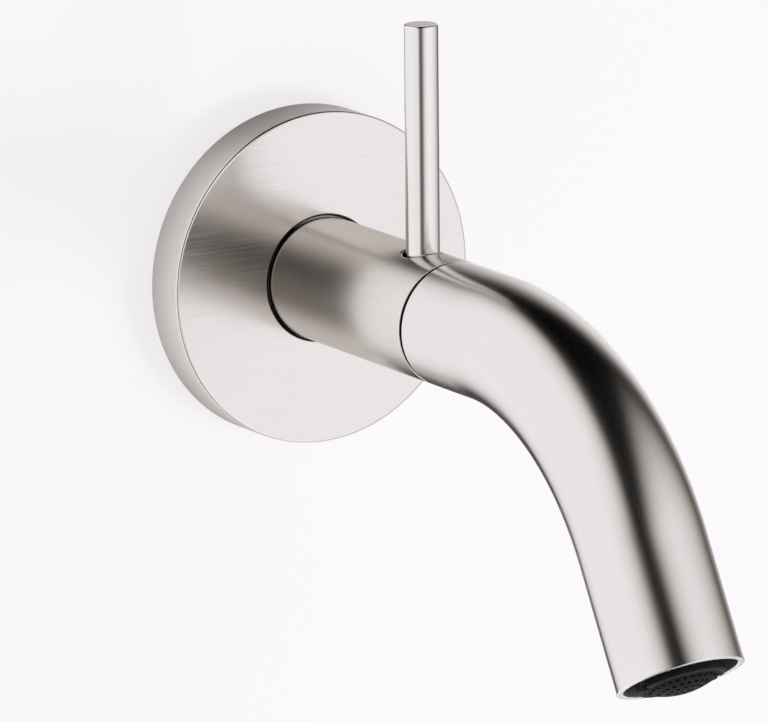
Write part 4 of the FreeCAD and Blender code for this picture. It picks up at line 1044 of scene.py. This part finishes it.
# %% Colour cast, and a plain backdrop for the camera itself
SHADE_CAST, LIGHT_CAST = (1.06, 1.0, 0.965, 1), (0.995, 1.0, 1.045, 1)
BACKDROP = (0.93, 0.93, 0.94, 1)
bright = spread(tree, put(tree, "ShaderNodeSeparateColor", {0: sky}).outputs[1], 0.25, 0.95, 0, 1,
                "SMOOTHSTEP")
cast = tint(tree, bright, SHADE_CAST, LIGHT_CAST)
sky = put(tree, "ShaderNodeVectorMath", {0: sky, 1: cast}, operation="MULTIPLY").outputs[0]
seen = put(tree, "ShaderNodeLightPath").outputs["Is Camera Ray"]
sky = tint(tree, seen, sky, BACKDROP)
shining = put(tree, "ShaderNodeBackground", {"Color": sky, "Strength": 1.0}).outputs[0]
put(tree, "ShaderNodeOutputWorld", {"Surface": shining})
print("tent lit:", tent.name)

# %% [markdown]
# ## Key light
# The tent alone gives the wall no shadow. A large lamp stands far to the front right, well below
# the tap, and pushes a faint shadow of the flange up and to the left. A sun would do it too, but
# its shadow would have a hard border. The tap doesn't mirror the lamp.

# %% Hang the lamp
LAMP_AT, LAMP_AIM, LAMP_SIZE, LAMP_WATTS = (1.45, -1.9, -0.72), (0, 0, 0.02), (0.8, 0.6), 26.0
lamp_data = bpy.data.lights.new("key_lamp", "AREA")
lamp_data.shape = "RECTANGLE"
lamp_data.size, lamp_data.size_y = LAMP_SIZE
lamp_data.energy = LAMP_WATTS
lamp = bpy.data.objects.new("key_lamp", lamp_data)
scene.collection.objects.link(lamp)
lamp.location = LAMP_AT
lamp.rotation_euler = (Vector(LAMP_AIM) - lamp.location).to_track_quat("-Z", "Y").to_euler()
lamp.visible_glossy = False
lamp.visible_camera = False
print("lamp hung at", LAMP_AT)

# %% [markdown]
# ## Camera
# The photograph was taken from the front left, a little above the tap, with a long lens: parallel
# lines hardly run together. A camera can be nudged by eye until it looks right, but here its
# direction, distance and lens were found by fitting the outline of the flange, the tube and the
# mouth, which is closer than the eye gets.

# %% Set the camera
AZIMUTH, ELEVATION, ROLL = math.radians(-31.02), math.radians(13.03), math.radians(-0.54)
TARGET, DISTANCE, LENS, SENSOR = Vector((-21.23, -84.57, -9.07)) * MM, 2.3558, 383.4, 36.0
back = Vector((math.sin(AZIMUTH) * math.cos(ELEVATION), -math.cos(AZIMUTH) * math.cos(ELEVATION),
               math.sin(ELEVATION)))
right = Vector((0, 0, 1)).cross(back).normalized()
above = back.cross(right)
right, above = (right * math.cos(ROLL) + above * math.sin(ROLL),
                above * math.cos(ROLL) - right * math.sin(ROLL))
camera_data = bpy.data.cameras.new("portrait_lens")
camera_data.lens, camera_data.sensor_width = LENS, SENSOR
camera_data.clip_start, camera_data.clip_end = 0.1, 20.0
camera = bpy.data.objects.new("camera", camera_data)
scene.collection.objects.link(camera)
spot = TARGET + back * DISTANCE
camera.matrix_world = Matrix.Translation(spot) @ Matrix((right, above, back)).transposed().to_4x4()
scene.camera = camera
scene.view_settings.view_transform = "Standard"
print("camera at", tuple(round(v, 3) for v in spot))
